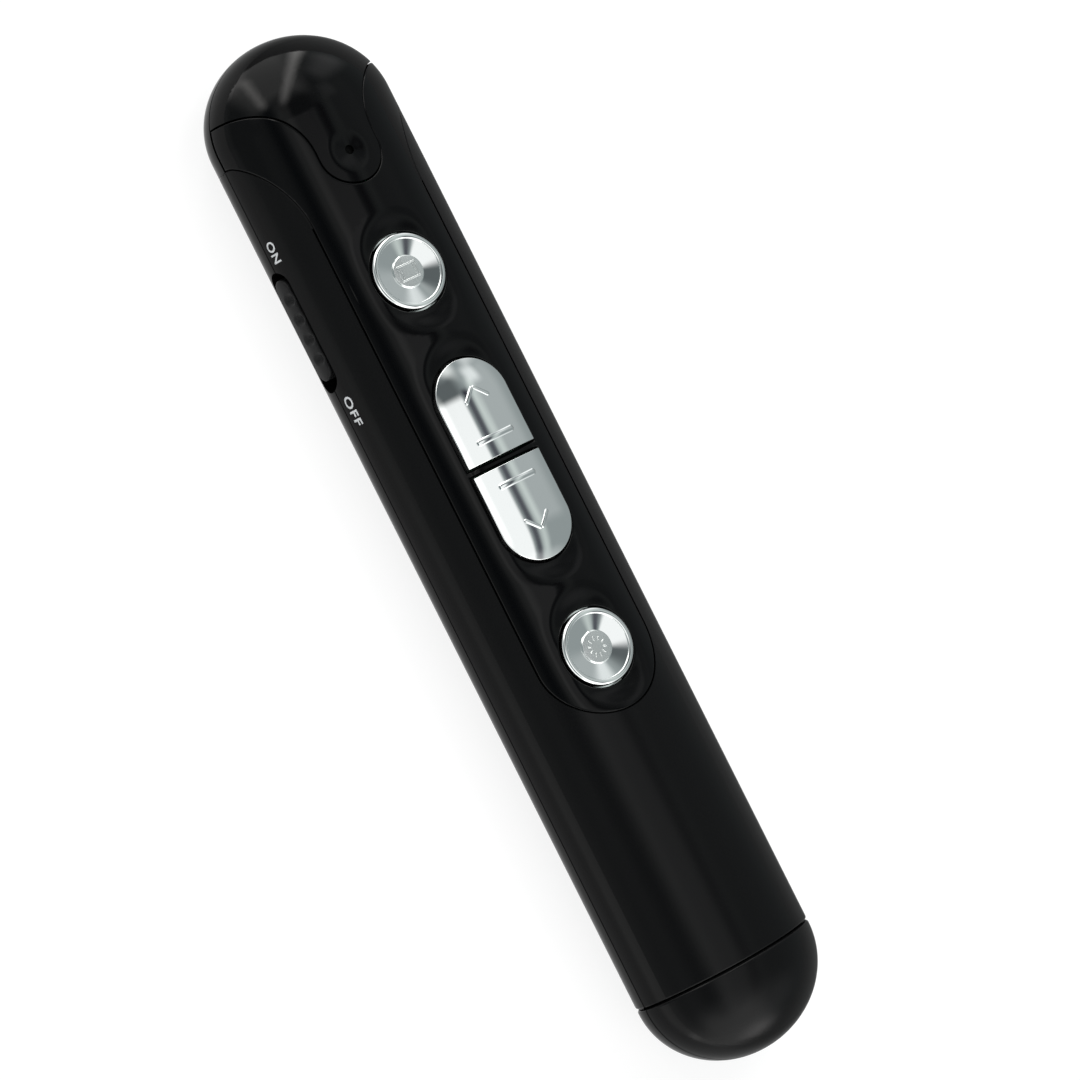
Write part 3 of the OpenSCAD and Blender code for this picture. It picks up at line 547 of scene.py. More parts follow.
def maths(tree, operation, a, b=0.0):
    """Adds a Math node and gives its output."""
    return put(tree, "Math", {0: a, 1: b}, operation=operation).outputs[0]


def group_tree(name, inputs, outputs):
    """An empty node group with number inputs and named outputs, and its two end nodes."""
    tree = bpy.data.node_groups.new(name, "ShaderNodeTree")
    for label, default in inputs.items():
        socket = tree.interface.new_socket(label, in_out="INPUT", socket_type="NodeSocketFloat")
        socket.default_value = default
    for label, kind in outputs.items():
        tree.interface.new_socket(label, in_out="OUTPUT", socket_type="NodeSocket" + kind)
    return tree, tree.nodes.new("NodeGroupInput").outputs, tree.nodes.new("NodeGroupOutput").inputs


def use_group(tree, group, inputs):
    """Places a node group and gives its outputs."""
    return put(tree, "Group", inputs, node_tree=group).outputs


def make_softbox_group():
    """Mask of one softbox on the studio's dome, from a measure across it and one along it."""
    tree, ins, outs = group_tree(
        "softbox",
        {"Across": 0.0, "Along": 0.0, "Centre": 0.0, "Half width": 10.0, "Soft edge": 3.0,
         "Middle": 0.0, "Half length": 0.5, "Soft end": 0.1},
        {"Mask": "Float"})

    def within(value, centre, half, soft):
        away = maths(tree, "ABSOLUTE", maths(tree, "SUBTRACT", value, centre))
        return put(tree, "MapRange", {
            "Value": away, "From Min": maths(tree, "ADD", half, soft),
            "From Max": maths(tree, "SUBTRACT", half, soft)}, interpolation_type="SMOOTHSTEP").outputs[0]

    across = within(ins["Across"], ins["Centre"], ins["Half width"], ins["Soft edge"])
    along = within(ins["Along"], ins["Middle"], ins["Half length"], ins["Soft end"])
    tree.links.new(maths(tree, "MULTIPLY", across, along), outs["Mask"])
    return tree


# Studio

def make_camera(s):
    """Looks at the body as the photograph does: rolled to the switch side, the body leaning to the right."""
    side = Vector((0, math.cos(s.roll), math.sin(s.roll)))
    right = math.sin(s.lean) * Vector((1, 0, 0)) + math.cos(s.lean) * side
    up = -math.cos(s.lean) * Vector((1, 0, 0)) + math.sin(s.lean) * side
    back = right.cross(up)
    place = Vector((0, 0, MID_Z)) + right * s.aim_right + up * s.aim_up + back * s.distance
    turn = Matrix((right, up, back)).transposed().to_4x4()
    deselect()
    bpy.ops.object.camera_add(location=place)
    cam = bpy.context.object
    cam.name = "camera"
    cam.matrix_world = Matrix.Translation(place) @ turn
    cam.data.sensor_width = 36
    cam.data.lens = cam.data.sensor_width / 2 / math.tan(s.field / 2)
    cam.data.clip_start, cam.data.clip_end = 0.01, 20
    bpy.context.scene.camera = cam


def ahead(off, roll):
    """Direction at an angle from straight ahead of the nose, rolled towards the switch side, in degrees."""
    off, roll = math.radians(off), math.radians(roll)
    return Vector((-math.cos(off), -math.sin(off) * math.sin(roll), math.sin(off) * math.cos(roll)))


def make_world():
    """A studio dome of softboxes that run along the body or cross before its nose."""
    world = bpy.data.worlds.new("studio")
    world.use_nodes = True
    bpy.context.scene.world = world
    tree = world.node_tree
    tree.nodes.clear()
    way = put(tree, "TexCoord").outputs["Generated"]
    parts = put(tree, "SeparateXYZ", {0: way}).outputs
    roll = maths(tree, "DEGREES", put(tree, "Math", {
        0: maths(tree, "MULTIPLY", parts["Y"], -1.0), 1: parts["Z"]}, operation="ARCTAN2").outputs[0])
    softbox = make_softbox_group()
    base = put(tree, "RGB")
    base.outputs[0].default_value = STUDIO_BASE
    total = base.outputs[0]

    def light(total, tint, across, along, *sizes):
        keys = ("Centre", "Half width", "Soft edge", "Middle", "Half length", "Soft end")
        mask = use_group(tree, softbox, {
            "Across": across, "Along": along, **dict(zip(keys, map(float, sizes)))})["Mask"]
        glow = put(tree, "VectorMath", {0: tint, "Scale": mask}, operation="SCALE").outputs[0]
        return put(tree, "VectorMath", {0: total, 1: glow}, operation="ADD").outputs[0]

    for tint, *place in LONG_LIGHTS:
        total = light(total, tint, roll, parts["X"], *place)
    for tint, start, end, half, soft in NOSE_LIGHTS:
        start, end = ahead(*start), ahead(*end)
        side = start.cross(end).normalized()
        reach = (end - start).normalized()
        across = put(tree, "VectorMath", {0: way, 1: side}, operation="DOT_PRODUCT").outputs["Value"]
        along = put(tree, "VectorMath", {0: way, 1: reach}, operation="DOT_PRODUCT").outputs["Value"]
        total = light(total, tint, across, along, 0, math.radians(half), math.radians(soft),
                      (start + end).dot(reach) / 2, (end - start).length / 2, NOSE_SOFT_END)
    seen = put(tree, "LightPath").outputs["Is Camera Ray"]
    shown = put(tree, "Mix", {"Factor": seen}, data_type="RGBA")
    tree.links.new(total, shown.inputs["A"])
    shown.inputs["B"].default_value = (1, 1, 1, 1)
    background = put(tree, "Background", {"Color": shown.outputs["Result"], "Strength": 1.0})
    out = put(tree, "OutputWorld")
    tree.links.new(background.outputs[0], out.inputs["Surface"])


def make_floor():
    """A wide white floor that glows to the camera and still takes the body's shadow. What mirrors it sees
    it darker on the far side than on the switch side."""
    deselect()
    bpy.ops.mesh.primitive_plane_add(size=6, location=(0, 0, -0.02 * MM))
    floor = active_piece("floor")
    coat = bpy.data.materials.new("floor paper")
    coat.use_nodes = True
    tree = coat.node_tree
    tree.nodes.clear()
    paper_tint, seen_glow = 0.2, 0.85
    shaded_glow, lit_glow, half_run = 0.05, 0.7, 20 * MM
    paths = put(tree, "LightPath").outputs
    mirrored = maths(tree, "MAXIMUM", paths["Is Glossy Ray"], paths["Is Transmission Ray"])
    paper = put(tree, "BsdfDiffuse", {"Color": (paper_tint, paper_tint, paper_tint, 1)})
    near = put(tree, "MapRange", {
        "Value": put(tree, "SeparateXYZ", {0: put(tree, "TexCoord").outputs["Object"]}).outputs["Y"],
        "From Min": half_run, "From Max": -half_run, "To Min": shaded_glow, "To Max": lit_glow},
        interpolation_type="SMOOTHSTEP").outputs[0]
    strength = maths(tree, "ADD", maths(tree, "MULTIPLY", paths["Is Camera Ray"], seen_glow),
                     maths(tree, "MULTIPLY", mirrored, near))
    glow = put(tree, "Emission", {"Color": (1, 1, 1, 1), "Strength": strength})
    both = put(tree, "AddShader", {0: paper.outputs[0], 1: glow.outputs[0]})
    tree.links.new(both.outputs[0], put(tree, "OutputMaterial").inputs["Surface"])
    floor.data.materials.append(coat)


def make_lamp(s):
    """One large soft lamp over the far side, which gives the shadow its side."""
    deselect()
    bpy.ops.object.light_add(type="AREA", location=(-0.35, 0.45, 0.9))
    lamp = bpy.context.object
    lamp.name = "key"
    lamp.data.shape = "DISK"
    lamp.data.size = s.lamp_size
    lamp.data.energy = s.lamp_power
    lamp.visible_glossy = False
    aim = (Vector((0, 0, MID_Z)) - lamp.location).to_track_quat("-Z", "Y")
    lamp.rotation_euler = aim.to_euler()


class PRESENTER_OT_stage(bpy.types.Operator):
    """Sets up the camera, the floor, the studio dome and the lamp"""

    bl_idname = "presenter.stage"
    bl_label = "Stage"

    def execute(self, context):
        make_camera(context.scene.presenter_stage)
        make_world()
        make_floor()
        make_lamp(context.scene.presenter_stage)
        context.scene.view_settings.view_transform = "Standard"
        return {"FINISHED"}


# Finishes

def principled(name, base, roughness, **sockets):
    """A material with one Principled shader, whose steady values stand on its own sockets."""
    coat = bpy.data.materials.new(name)
    coat.use_nodes = True
    shader = coat.node_tree.nodes["Principled BSDF"]
    shader.inputs["Base Color"].default_value = (*base, 1)
    shader.inputs["Roughness"].default_value = roughness
    for key, value in sockets.items():
        shader.inputs[key.replace("_", " ").title().replace("Ior", "IOR")].default_value = value
    return coat.node_tree, shader


def make_grain_group():
    """Fine grain in real size: a bump for the surface and a mask that varies its roughness."""
    tree, ins, outs = group_tree(
        "moulded grain",
        {"Size": 0.15 * MM, "Depth": 0.2, "Roughness": 0.3, "Spread": 0.04},
        {"Normal": "Vector", "Roughness": "Float"})
    place = put(tree, "TexCoord").outputs["Object"]
    scale = maths(tree, "DIVIDE", 1.0, ins["Size"])
    grain = put(tree, "TexNoise", {"Vector": place, "Scale": scale, "Detail": 2.0, "Roughness": 0.55})
    bump = put(tree, "Bump", {
        "Strength": ins["Depth"], "Distance": 0.02 * MM, "Height": grain.outputs["Fac"]})
    tree.links.new(bump.outputs["Normal"], outs["Normal"])
    cloudy = put(tree, "TexNoise", {"Vector": place, "Scale": 120.0, "Detail": 3.0, "Roughness": 0.6})
    swing = maths(tree, "MULTIPLY", maths(tree, "SUBTRACT", cloudy.outputs["Fac"], 0.5), ins["Spread"])
    varied = maths(tree, "ADD", ins["Roughness"], maths(tree, "MULTIPLY", swing, 2.0))
    tree.links.new(varied, outs["Roughness"])
    return tree


def grained(name, base, roughness, size, depth, spread=0.04, **sockets):
    """A finish with grain of a size in millimetres and a depth, and a spread of its roughness."""
    tree, shader = principled(name, base, roughness, **sockets)
    group = bpy.data.node_groups.get("moulded grain") or make_grain_group()
    out = use_group(tree, group, {
        "Size": size * MM, "Depth": depth, "Roughness": roughness, "Spread": spread})
    tree.links.new(out["Normal"], shader.inputs["Normal"])
    tree.links.new(out["Roughness"], shader.inputs["Roughness"])
    return tree, shader


def make_board_finish(f):
    """Solder mask with paler tracks beneath it, on a square grid."""
    tree, shader = grained("board green", f.board, 0.3, 0.3, 0.2)
    place = put(tree, "TexCoord").outputs["Object"]
    tracks = put(tree, "TexBrick", {
        "Vector": place, "Scale": 180.0, "Mortar Size": 0.06, "Mortar Smooth": 0.1, "Bias": 0.0,
        "Brick Width": 0.9, "Row Height": 0.28,
        "Color1": (*f.board, 1), "Color2": (*[c * 0.8 for c in f.board], 1),
        "Mortar": (*[c * 2.2 for c in f.board], 1)})
    tree.links.new(tracks.outputs["Color"], shader.inputs["Base Color"])


def make_cell_finish(f):
    """Printed film round the battery cell, with a dark band at one end and bare steel at both ends."""
    tree, shader = grained("cell", f.jacket, 0.28, 0.2, 0.1, metallic=0.4)
    low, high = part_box("battery_cell")
    x = put(tree, "SeparateXYZ", {0: put(tree, "TexCoord").outputs["Object"]}).outputs["X"]
    share = put(tree, "MapRange", {"Value": x, "From Min": low.x, "From Max": high.x}).outputs[0]
    bands = put(tree, "ValToRGB", {"Fac": share})
    bands.color_ramp.interpolation = "CONSTANT"
    bare, dark = (0.6, 0.6, 0.6), (0.012, 0.012, 0.013)
    stops = ((0.0, bare), (0.035, dark), (0.3, f.jacket), (0.985, bare))
    ramp = bands.color_ramp
    while len(ramp.elements) < len(stops):
        ramp.elements.new(0.5)
    for element, (where, tint) in zip(ramp.elements, stops):
        element.position = where
        element.color = (*tint, 1)
    tree.links.new(bands.outputs["Color"], shader.inputs["Base Color"])


class PRESENTER_OT_finishes(bpy.types.Operator):
    """Makes the finishes"""

    bl_idname = "presenter.finishes"
    bl_label = "Finishes"

    def execute(self, context):
        f = context.scene.presenter_finish
        grained("gloss black", f.gloss, 0.07, 1.5, 0.04, 0.02, specular_ior_level=0.15)
        grained("satin black", f.satin, 0.21, 0.12, 0.25, 0.03, specular_ior_level=0.12)
        grained("knob grey", f.knob, 0.42, 0.1, 0.4, specular_ior_level=0.12)
        grained("chrome", f.chrome, 0.05, 2, 0.03, 0.02, metallic=1.0)
        grained("satin chrome", [c * 0.9 for c in f.chrome], 0.32, 0.1, 0.2, metallic=1.0)
        grained("print", f.print_ink, 0.5, 0.05, 0.2)
        grained("steel", (0.6, 0.6, 0.61), 0.25, 0.1, 0.15, 0.06, metallic=1.0)
        grained("brass", (0.75, 0.55, 0.24), 0.22, 0.1, 0.1, metallic=1.0)
        grained("gold", (0.95, 0.68, 0.28), 0.15, 0.1, 0.1, metallic=1.0)
        grained("chip black", (0.01, 0.01, 0.011), 0.5, 0.06, 0.5)
        grained("plain black", (0.012, 0.012, 0.012), 0.35, 0.15, 0.2)
        grained("usb white", (0.75, 0.75, 0.73), 0.4, 0.1, 0.2)
        grained("red wire", (0.4, 0.015, 0.01), 0.4, 0.2, 0.2)
        grained("smoked", (0.002, 0.002, 0.002), 0.5, 0.5, 0.05, specular_ior_level=0.05)
        grained("clear", (0.85, 0.9, 0.92), 0.03, 2, 0.02, 0.01, transmission_weight=0.95)
        grained("lamp", (0.8, 0.75, 0.5), 0.3, 0.2, 0.1, transmission_weight=0.3)
        make_board_finish(f)
        make_cell_finish(f)
        return {"FINISHED"}


# Pieces

class PRESENTER_OT_shells(bpy.types.Operator):
    """Makes the shells with their groove at the rear, and the nose with the indicator's dimple"""

    bl_idname = "presenter.shells"
    bl_label = "Shells"

    cut_shares = (0.12, 0.3, 0.6, 1)
    dimple_step = 0.4 * MM

    def execute(self, context):
        s = context.scene.presenter_shape
        for node in GROOVED:
            piece = merged_copy(node, node + "_skin")
            edge = 1 if "receiver" in node else -1
            for share in self.cut_shares:
                cut(piece, 0, [CAP_X + edge * (SEAM / 2 + share * s.groove)])
            sink(piece, lambda place: self.groove(place, edge, s.groove))
            dress(piece, body_of(node), "satin_shell", "satin black")
            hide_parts(node)
        low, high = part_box("light_pipe")
        middle = Vector(((low.x + high.x) / 2, 0, PART_Z + CROWN_H))
        nose = merged_copy("nose_cap", "nose_cap_skin")
        for axis in (0, 1):
            slice_up(nose, axis, middle[axis] - s.dimple_r, middle[axis] + s.dimple_r + self.dimple_step,
                     self.dimple_step)
        sink(nose, lambda place: self.dimple(place - middle, s.dimple_r, s.dimple_depth))
        dress(nose, "root", "gloss_shell", "gloss black")
        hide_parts("nose_cap")
        return {"FINISHED"}

    def groove(self, place, edge, width):
        """Drop and slope of the rounded shoulder beside the rear groove, which ends just short of upright."""
        past = 1 - (edge * (place.x - CAP_X) - SEAM / 2) / width
        if not 0 < past < 1.3:
            return 0, Vector()
        past = min(past, 0.98)
        rise = math.sqrt(1 - past * past)
        return width * (1 - rise), Vector((-edge * past / rise, 0, 0))

    def dimple(self, away, radius, depth):
        """Drop and slope of the soft hollow round the indicator's hole."""
        share = away.xy.length / radius
        if abs(away.z) > 2 * MM or share >= 1:
            return 0, Vector()
        slope = -6 * share * (1 - share) * depth / radius
        return depth * (1 - smooth_step(share)), Vector((*(away.xy.normalized() * slope), 0))


class PRESENTER_OT_panel(bpy.types.Operator):
    """Makes the glossy top panel, bent over the body and hollowed softly round the buttons"""

    bl_idname = "presenter.panel"
    bl_label = "Top panel"

    # Plan of the nose seam, the flare beside it and the straight part behind them
    tongue_r = 4.2 * MM
    tongue_x = FRONT_X + 17.4 * MM
    curve_r = 8.6 * MM
    curve_x = FRONT_X + 16.1 * MM
    flare_x = FRONT_X + 13 * MM
    flare_run = 11.3 * MM
    half_w = 8.5 * MM
    # Size of the mesh's cells, how softly a dish meets its floor, how far the bar between the page buttons
    # stands above that floor, and the least level of the panel over the buttons' undersides
    cell = 0.5 * MM
    dish_soft = 0.25 * MM
    bar_rise = 0.4 * MM
    least_rise = 0.75 * MM
    boss_r, boss_h, boss_z = 2 * MM, 2.4 * MM, 14.2 * MM
    boss_wall, boss_depth = 1 * MM, 1.9 * MM

    def outline(self, seam):
        """The panel's edge on the flat plate, from the tongue's end round to the rear, then back."""
        points = [flatten(*p) for p in arc(self.tongue_x, 0, self.tongue_r + seam, 0, 90, 14)]
        part_run = run_down_to(PART_Z)
        for x, y in arc(self.curve_x, self.tongue_r + self.curve_r, self.curve_r - seam, 270, 180, 42):
            if math.hypot(max(0, DOME_X - x) / DOME_RATIO, y) > on_section(part_run, 0)[0]:
                break
            points.append(flatten(x, y))
        start = math.degrees(math.atan2(points[-1][1], DOME_X - points[-1][0]))
        points += arc(DOME_X, 0, part_run, 180 - start, 90, 6)
        edge_z, slope = self.edge_level()
        end_x = self.flare_x + self.flare_run
        for step in range(19):
            turn = math.radians(180 - 90 * step / 18)
            x = end_x + (self.flare_run + seam) * math.cos(turn)
            z = PART_Z + (edge_z - PART_Z + seam * slope) * math.sin(turn)
            points.append((x, run_down_to(z)))
        points += [flatten(*p) for p in arc(LASER_X, 0, self.half_w - seam, 90, 0, 32)]
        return points + [(x, -run) for x, run in points[-2:0:-1]]

    def edge_level(self):
        """Level of the skin at the panel's straight edge, and its slope there."""
        rise = math.sqrt(CROWN_R**2 - self.half_w**2)
        return CROWN_Z + rise, self.half_w / rise

    def holes(self):
        """Edges of the holes: two round ones and the two windows on each side of the bar."""
        r = PAGE_R + GAP
        rounds = [arc(x, 0, ROUND_R + GAP, 0, 355, 71) for x in (SCREEN_X, LASER_X)]
        side = [(BAR_HALF, -r)] + arc(PAGE_END, 0, r, -90, 90, 32) + [(BAR_HALF, r)]
        pages = [[(PAGE_X + sign * x, y) for x, y in side] for sign in (-1, 1)]
        return [[flatten(*p) for p in hole] for hole in rounds + pages]

    def execute(self, context):
        s = context.scene.presenter_shape
        outline = self.outline(s.seam)
        plate = flat_plate("top_panel_skin", [outline] + self.holes(), s.panel_t, s.edge_round)
        reach = max(run for x, run in outline)
        slice_up(plate, 1, -reach, reach, self.cell)
        slice_up(plate, 0, outline[0][0] - 20 * MM, LASER_X + self.half_w, self.cell)
        floor_z = ROUND_TOP - s.dish_depth
        least_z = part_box("screen_button")[0].z + self.least_rise

        def shape(x, run, height):
            point = bend(x, run, height)
            skin = bend(x, run, 0)
            outside = smooth_step(from_holes(skin.x, skin.y) / s.dish_run)
            bar = smooth_step((PAGE_R - abs(skin.y)) / MM) if abs(skin.x - PAGE_X) < 1.5 * BAR_HALF else 0
            # The drop is a soft form of what stands above the dish's floor, and fades out at its edge
            excess = skin.z - floor_z - bar * self.bar_rise
            drop = (excess + math.hypot(excess, self.dish_soft)) / 2 * (1 - outside)
            point.z = max(point.z - drop, min(point.z, least_z), PART_Z)
            return point

        bend_plate(plate, shape)
        dress(plate, "root", "gloss_shell", "gloss black")
        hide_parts("top_panel")
        self.make_bosses()
        return {"FINISHED"}

    def make_bosses(self):
        """The two bosses under the panel that take the long screws."""
        low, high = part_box("long_screws")
        head_r = high.y
        bosses = []
        for x in (low.x + head_r, high.x - head_r):
            deselect()
            bpy.ops.mesh.primitive_cylinder_add(
                vertices=48, radius=self.boss_r, depth=self.boss_h, location=(x, 0, self.boss_z))
            boss = active_piece("boss")
            edit(boss)
            bpy.ops.mesh.select_all(action="DESELECT")
            bpy.ops.object.mode_set(mode="OBJECT")
            for face in boss.data.polygons:
                face.select = face.normal.z < -0.9
            bpy.ops.object.mode_set(mode="EDIT")
            bpy.ops.mesh.inset(thickness=self.boss_wall)
            bpy.ops.mesh.extrude_region_move(TRANSFORM_OT_translate={"value": (0, 0, self.boss_depth)})
            bpy.ops.object.mode_set(mode="OBJECT")
            settle(boss)
            bosses.append(boss)
        boss = join(bosses, "panel_bosses")
        bpy.ops.object.shade_smooth_by_angle(angle=math.radians(35))
        dress(boss, "root", "gloss_shell", "gloss black")


def ridge(name, start, end, half_w, height):
    """A raised bar with round ends between two points, proud of the level z = 0 by its height."""
    r = (half_w**2 + height**2) / (2 * height)
    start, end = Vector(start), Vector(end)
    reach = (end - start).length / 2 - half_w
    deselect()
    bpy.ops.mesh.primitive_uv_sphere_add(segments=32, ring_count=24, radius=r)
    bar = active_piece(name)
    for vert in bar.data.vertices:
        vert.co.x += math.copysign(reach, vert.co.x) if abs(vert.co.x) > r * 1e-3 else reach
        vert.co.z -= r - height
    along = end - start
    bar.rotation_euler.z = math.atan2(along.y, along.x)
    bar.location = (*((start + end) / 2), 0)
    settle(bar)
    bpy.ops.object.shade_smooth()
    return bar


def lift_onto(piece, level):
    """Raises a flat piece so that it follows the surface under it."""
    slice_up(piece, 1, -3 * MM, 3 * MM, 0.3 * MM)
    for vert in piece.data.vertices:
        vert.co.z += level(vert.co.x, vert.co.y)


class PRESENTER_OT_round_buttons(bpy.types.Operator):
    """Makes the two round buttons: chrome rim and bowl, satin disc and its raised mark"""

    bl_idname = "presenter.round_buttons"
    bl_label = "Round buttons"

    # Sizes of the half section: the rim's outer and inner rounding, each with its width and drop, the bowl's
    # start and end below the rim, and the disc
    rim_out, rim_out_drop = 0.42 * MM, 0.35 * MM
    rim_in, rim_in_drop = 0.36 * MM, 0.14 * MM
    bowl_start, bowl_drop = 0.17 * MM, 0.62 * MM
    disc_r, disc_drop, disc_round = 2.05 * MM, 0.42 * MM, 0.1 * MM
    stem_r, flange_t, flange_rise = 1.6 * MM, 0.5 * MM, 0.65 * MM

    def profile(self):
        """Half section from the axis under the button, round its rim and down its bowl to the disc."""
        low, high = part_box("screen_button")
        flange_top = low.z + self.flange_rise
        flange_r = ROUND_R + FLANGE_W
        crest_r = ROUND_R - self.rim_out
        outer = [(crest_r + self.rim_out * math.cos(t), high.z - self.rim_out_drop * (1 - math.sin(t)))
                 for t in [math.radians(9 * i) for i in range(11)]]
        inner = [(crest_r - self.rim_in * math.sin(t), high.z - self.rim_in_drop * (1 - math.cos(t)))
                 for t in [math.radians(15 * i) for i in range(1, 7)]]
        start = Vector((crest_r - self.rim_in, high.z - self.bowl_start))
        end = Vector((self.disc_r + self.disc_round, high.z - self.bowl_drop))
        bowl = [start.lerp(end, i / 8)[:] for i in range(9)]
        disc_z = high.z - self.disc_drop
        lip = arc(self.disc_r - self.disc_round, disc_z - self.disc_round, self.disc_round, 0, 90, 4)
        stem = [(0, low.z), (self.stem_r, low.z), (self.stem_r, flange_top - self.flange_t),
                (flange_r, flange_top - self.flange_t), (flange_r, flange_top), (ROUND_R, flange_top)]
        return stem + outer + inner + bowl + lip + [(0, disc_z)]

    def execute(self, context):
        s = context.scene.presenter_shape
        for node, x, marks in (("screen_button", SCREEN_X, self.frame_mark),
                               ("laser_button", LASER_X, self.ray_mark)):
            button = self.turned(node + "_skin", x)
            dress(button, body_of(node), "chrome_button", "chrome", "satin chrome")
            for face in button.data.polygons:
                near_axis = math.hypot(face.center.x - x, face.center.y) < self.disc_r - self.disc_round / 2
                face.material_index = int(near_axis and face.center.z > ROUND_TOP - MM)
            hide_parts(node)
            mark = join([ridge("mark", *bar, s.icon_h) for bar in marks(x)], node + "_mark")
            lift_onto(mark, lambda x, y: ROUND_TOP - self.disc_drop)
            dress(mark, body_of(node), "chrome_button", "satin chrome")
        return {"FINISHED"}

    def turned(self, name, x):
        """Spins the profile about the button's axis."""
        mesh = bpy.data.meshes.new(name)
        points = [(x + r, 0, z) for r, z in self.profile()]
        mesh.from_pydata(points, [(i, i + 1) for i in range(len(points) - 1)], [])
        piece = new_piece(name, mesh)
        edit(piece)
        bpy.ops.mesh.spin(steps=128, angle=math.tau, center=(x, 0, 0), axis=(0, 0, 1))
        bpy.ops.object.mode_set(mode="OBJECT")
        merge(piece, 0.002 * MM)
        pick(piece)
        bpy.ops.object.shade_smooth_by_angle(angle=math.radians(30))
        return piece

    def frame_mark(self, x):
        """Bars of the screen button's mark: a frame whose short sides are doubled."""
        half_x, half_y, thin, thick = 0.95 * MM, 1.4 * MM, 0.09 * MM, 0.13 * MM
        for sign in (-1, 1):
            yield (x + sign * half_x, -half_y), (x + sign * half_x, half_y), thick
            for y in (half_y - 0.1 * MM, half_y - 0.45 * MM):
                yield (x - half_x, sign * y), (x + half_x, sign * y), thin

    def ray_mark(self, x):
        """Bars of the laser button's mark: a ring of short rays."""
        for i in range(10):
            way = Vector((math.cos(math.tau * i / 10), math.sin(math.tau * i / 10)))
            middle = Vector((x, 0))
            yield middle + way * 0.8 * MM, middle + way * 1.35 * MM, 0.12 * MM


class PRESENTER_OT_page_buttons(bpy.types.Operator):
    """Makes the two page buttons with rounded edges, a raised bar and an arrowhead on each, their chrome
    walls in the hole painted black as painted shade
    """

    bl_idname = "presenter.page_buttons"
    bl_label = "Page buttons"

    bar_place = 3 * MM
    bar_half_len = 2.85 * MM
    tip_place = 9.7 * MM
    arm_place = 7.9 * MM
    arm_y = 1.8 * MM
    bar_size = (0.42 * MM, 0.12 * MM)
    arm_size = (0.27 * MM, 0.09 * MM)
    # Depth under the crowned top below which the chrome walls are painted black: painted shade for the dark
    # hole round them
    painted_shade_depth = 0.4 * MM

    def execute(self, context):
        s = context.scene.presenter_shape
        for node, sign in (("page_up_button", -1), ("page_down_button", 1)):
            piece = merged_copy(node, node + "_skin")
            round_edges(piece, s.key_round)
            keep_curvature(piece, node)
            dress(piece, body_of(node), "chrome_button", "chrome", "plain black")
            # Below that depth the chrome walls down in the hole take plain black: painted shade, not a finish
            # of their own
            for face in piece.data.polygons:
                face.material_index = int(face.center.z < self.level(*face.center.xy) - self.painted_shade_depth)
            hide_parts(node)
            bar_x = PAGE_X + sign * self.bar_place
            tip = (PAGE_X + sign * self.tip_place, 0)
            arms = [(PAGE_X + sign * self.arm_place, side * self.arm_y) for side in (-1, 1)]
            bars = [ridge("bar", (bar_x, -self.bar_half_len), (bar_x, self.bar_half_len), *self.bar_size)]
            bars += [ridge("arm", tip, arm, *self.arm_size) for arm in arms]
            mark = join(bars, node + "_mark")
            lift_onto(mark, self.level)
            dress(mark, body_of(node), "chrome_button", "chrome")
        return {"FINISHED"}

    def level(self, x, y):
        """Level of a page button's crowned top."""
        past = max(0, abs(x - PAGE_X) - PAGE_END)
        return PAGE_TOP - PAGE_CROWN_R + math.sqrt(PAGE_CROWN_R**2 - past**2 - y**2)


class PRESENTER_OT_knob(bpy.types.Operator):
    """Makes the power knob: a rounded face that follows the side, with four finger scoops"""

    bl_idname = "presenter.knob"
    bl_label = "Power knob"

    # The face's size, how far it stands out of the side, the floor that the scoops leave, and how far the
    # solid under it is drawn in
    half_len, half_w = 6.9 * MM, 1.62 * MM
    face_t, face_round, face_step = 1.1 * MM, 0.3 * MM, 0.2 * MM
    proud = 0.1 * MM
    scoop_floor = 0.8 * MM
    core_drop = 0.6 * MM
    scoop_step = 2.7 * MM
    scoop_up = 0.75 * MM
    scoop_size = (0.95 * MM, 1.3 * MM)

    def execute(self, context):
        s = context.scene.presenter_shape
        low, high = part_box("power_knob")
        middle = Vector(((low.x + high.x) / 2, 0, (low.z + high.z) / 2))
        middle_run = run_down_to(middle.z)
        core = merged_copy("power_knob", "power_knob_core")
        sink(core, lambda place: (self.core_drop, Vector()))
        dress(core, "power_slide", "knob", "knob grey")
        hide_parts("power_knob")
        straight = self.half_len - self.half_w
        pill = arc(straight, 0, self.half_w, -90, 90, 24) + arc(-straight, 0, self.half_w, 90, 270, 24)
        face = flat_plate("power_knob_face", [pill], self.face_t, self.face_round)
        slice_up(face, 1, -self.half_w, self.half_w, self.face_step)
        slice_up(face, 0, -self.half_len, self.half_len, self.face_step)

        def shape(x, w, height):
            sunk = max(0, min(s.scoop * self.scoops(x, w), self.scoop_floor + height))
            return bend(middle.x + x, w - middle_run, height + self.proud - sunk)

        bend_plate(face, shape)
        dress(face, "power_slide", "knob", "knob grey")
        return {"FINISHED"}

    def scoops(self, x, w):
        """How far into the nearest scoop a point lies, from 0 to 1."""
        nearest = min(3, max(0, round(x / self.scoop_step + 1.5)))
        away = Vector((x - (nearest - 1.5) * self.scoop_step, w - self.scoop_up))
        return 1 - smooth_step(math.hypot(away.x / self.scoop_size[0], away.y / self.scoop_size[1]))


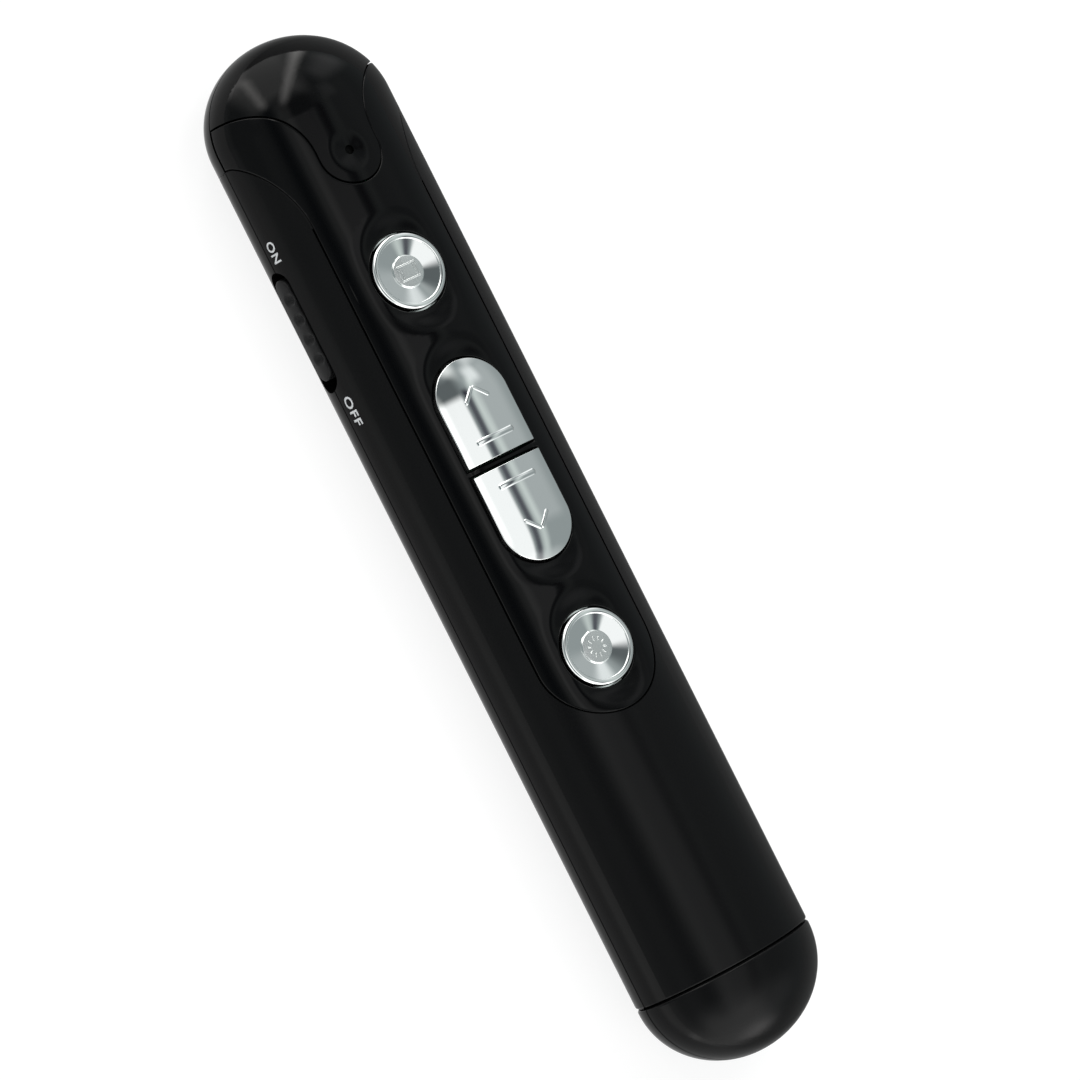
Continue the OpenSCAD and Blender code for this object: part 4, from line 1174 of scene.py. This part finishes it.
class PRESENTER_OT_lettering(bpy.types.Operator):
    """Prints ON and OFF on the side, in front of and behind the slot"""

    bl_idname = "presenter.lettering"
    bl_label = "Lettering"

    # Each word with its place along the body and its stretch, then the level of all letters, how far a
    # capital fills its type size, and the thickness of the ink
    words = (("ON", -45.4 * MM, 1.08), ("OFF", -23.66 * MM, 1.28))
    level = 9.8 * MM
    capital_share = 0.73
    weight, spacing = 0.03 * MM, 1.12
    ink, ink_lift = 0.02 * MM, 0.005 * MM

    def execute(self, context):
        s = context.scene.presenter_shape
        middle_run = run_down_to(self.level)
        for word, x, stretch in self.words:
            deselect()
            bpy.ops.object.text_add()
            text = bpy.context.object
            text.data.body = word
            text.data.size = s.letter_h / self.capital_share
            text.data.align_x = "CENTER"
            text.data.align_y = "CENTER"
            text.data.offset = self.weight
            text.data.space_character = self.spacing
            text.data.extrude = self.ink
            bpy.ops.object.convert(target="MESH")
            letters = active_piece("print_" + word.lower())
            merge(letters, 0.001 * MM)
            slice_up(letters, 1, -s.letter_h, s.letter_h, 0.2 * MM)
            for vert in letters.data.vertices:
                vert.co = bend(x + stretch * vert.co.x, vert.co.y - middle_run, vert.co.z + self.ink_lift)
            dress(letters, "root", "satin_shell", "print")
        return {"FINISHED"}


class PRESENTER_OT_plain_parts(bpy.types.Operator):
    """Gives the solids that keep their own mesh, most of them inside the body, their finishes"""

    bl_idname = "presenter.plain_parts"
    bl_label = "Plain parts"

    def execute(self, context):
        for coat, nodes in PLAIN.items():
            for node in nodes:
                mesh = frame["nodes"][node].data
                mesh.materials.clear()
                mesh.materials.append(bpy.data.materials[coat])
        return {"FINISHED"}


STEPS = (
    PRESENTER_OT_stage, PRESENTER_OT_finishes, PRESENTER_OT_shells, PRESENTER_OT_panel,
    PRESENTER_OT_round_buttons, PRESENTER_OT_page_buttons, PRESENTER_OT_knob, PRESENTER_OT_lettering,
    PRESENTER_OT_plain_parts,
)
GROUPS = {
    "presenter_shape": PRESENTER_PG_shape,
    "presenter_finish": PRESENTER_PG_finish,
    "presenter_stage": PRESENTER_PG_stage,
}


class PRESENTER_PT_panel(bpy.types.Panel):
    """Lists the steps and the sizes in the sidebar"""

    bl_idname = "PRESENTER_PT_panel"
    bl_label = "Presenter"
    bl_space_type = "VIEW_3D"
    bl_region_type = "UI"
    bl_category = "Presenter"

    def draw(self, context):
        for group in (getattr(context.scene, name) for name in GROUPS):
            column = self.layout.column(align=True)
            for key in group.__annotations__:
                column.prop(group, key)
        for step in STEPS:
            self.layout.operator(step.bl_idname)


CLASSES = (*GROUPS.values(), *STEPS, PRESENTER_PT_panel)


def register():
    for cls in CLASSES:
        bpy.utils.register_class(cls)
    for name, group in GROUPS.items():
        setattr(bpy.types.Scene, name, bpy.props.PointerProperty(type=group))


def unregister():
    for name in GROUPS:
        delattr(bpy.types.Scene, name)
    for cls in reversed(CLASSES):
        bpy.utils.unregister_class(cls)


def main():
    register()
    for step in STEPS:
        getattr(bpy.ops.presenter, step.bl_idname.split(".")[1])()


if __name__ == "__main__":
    main()
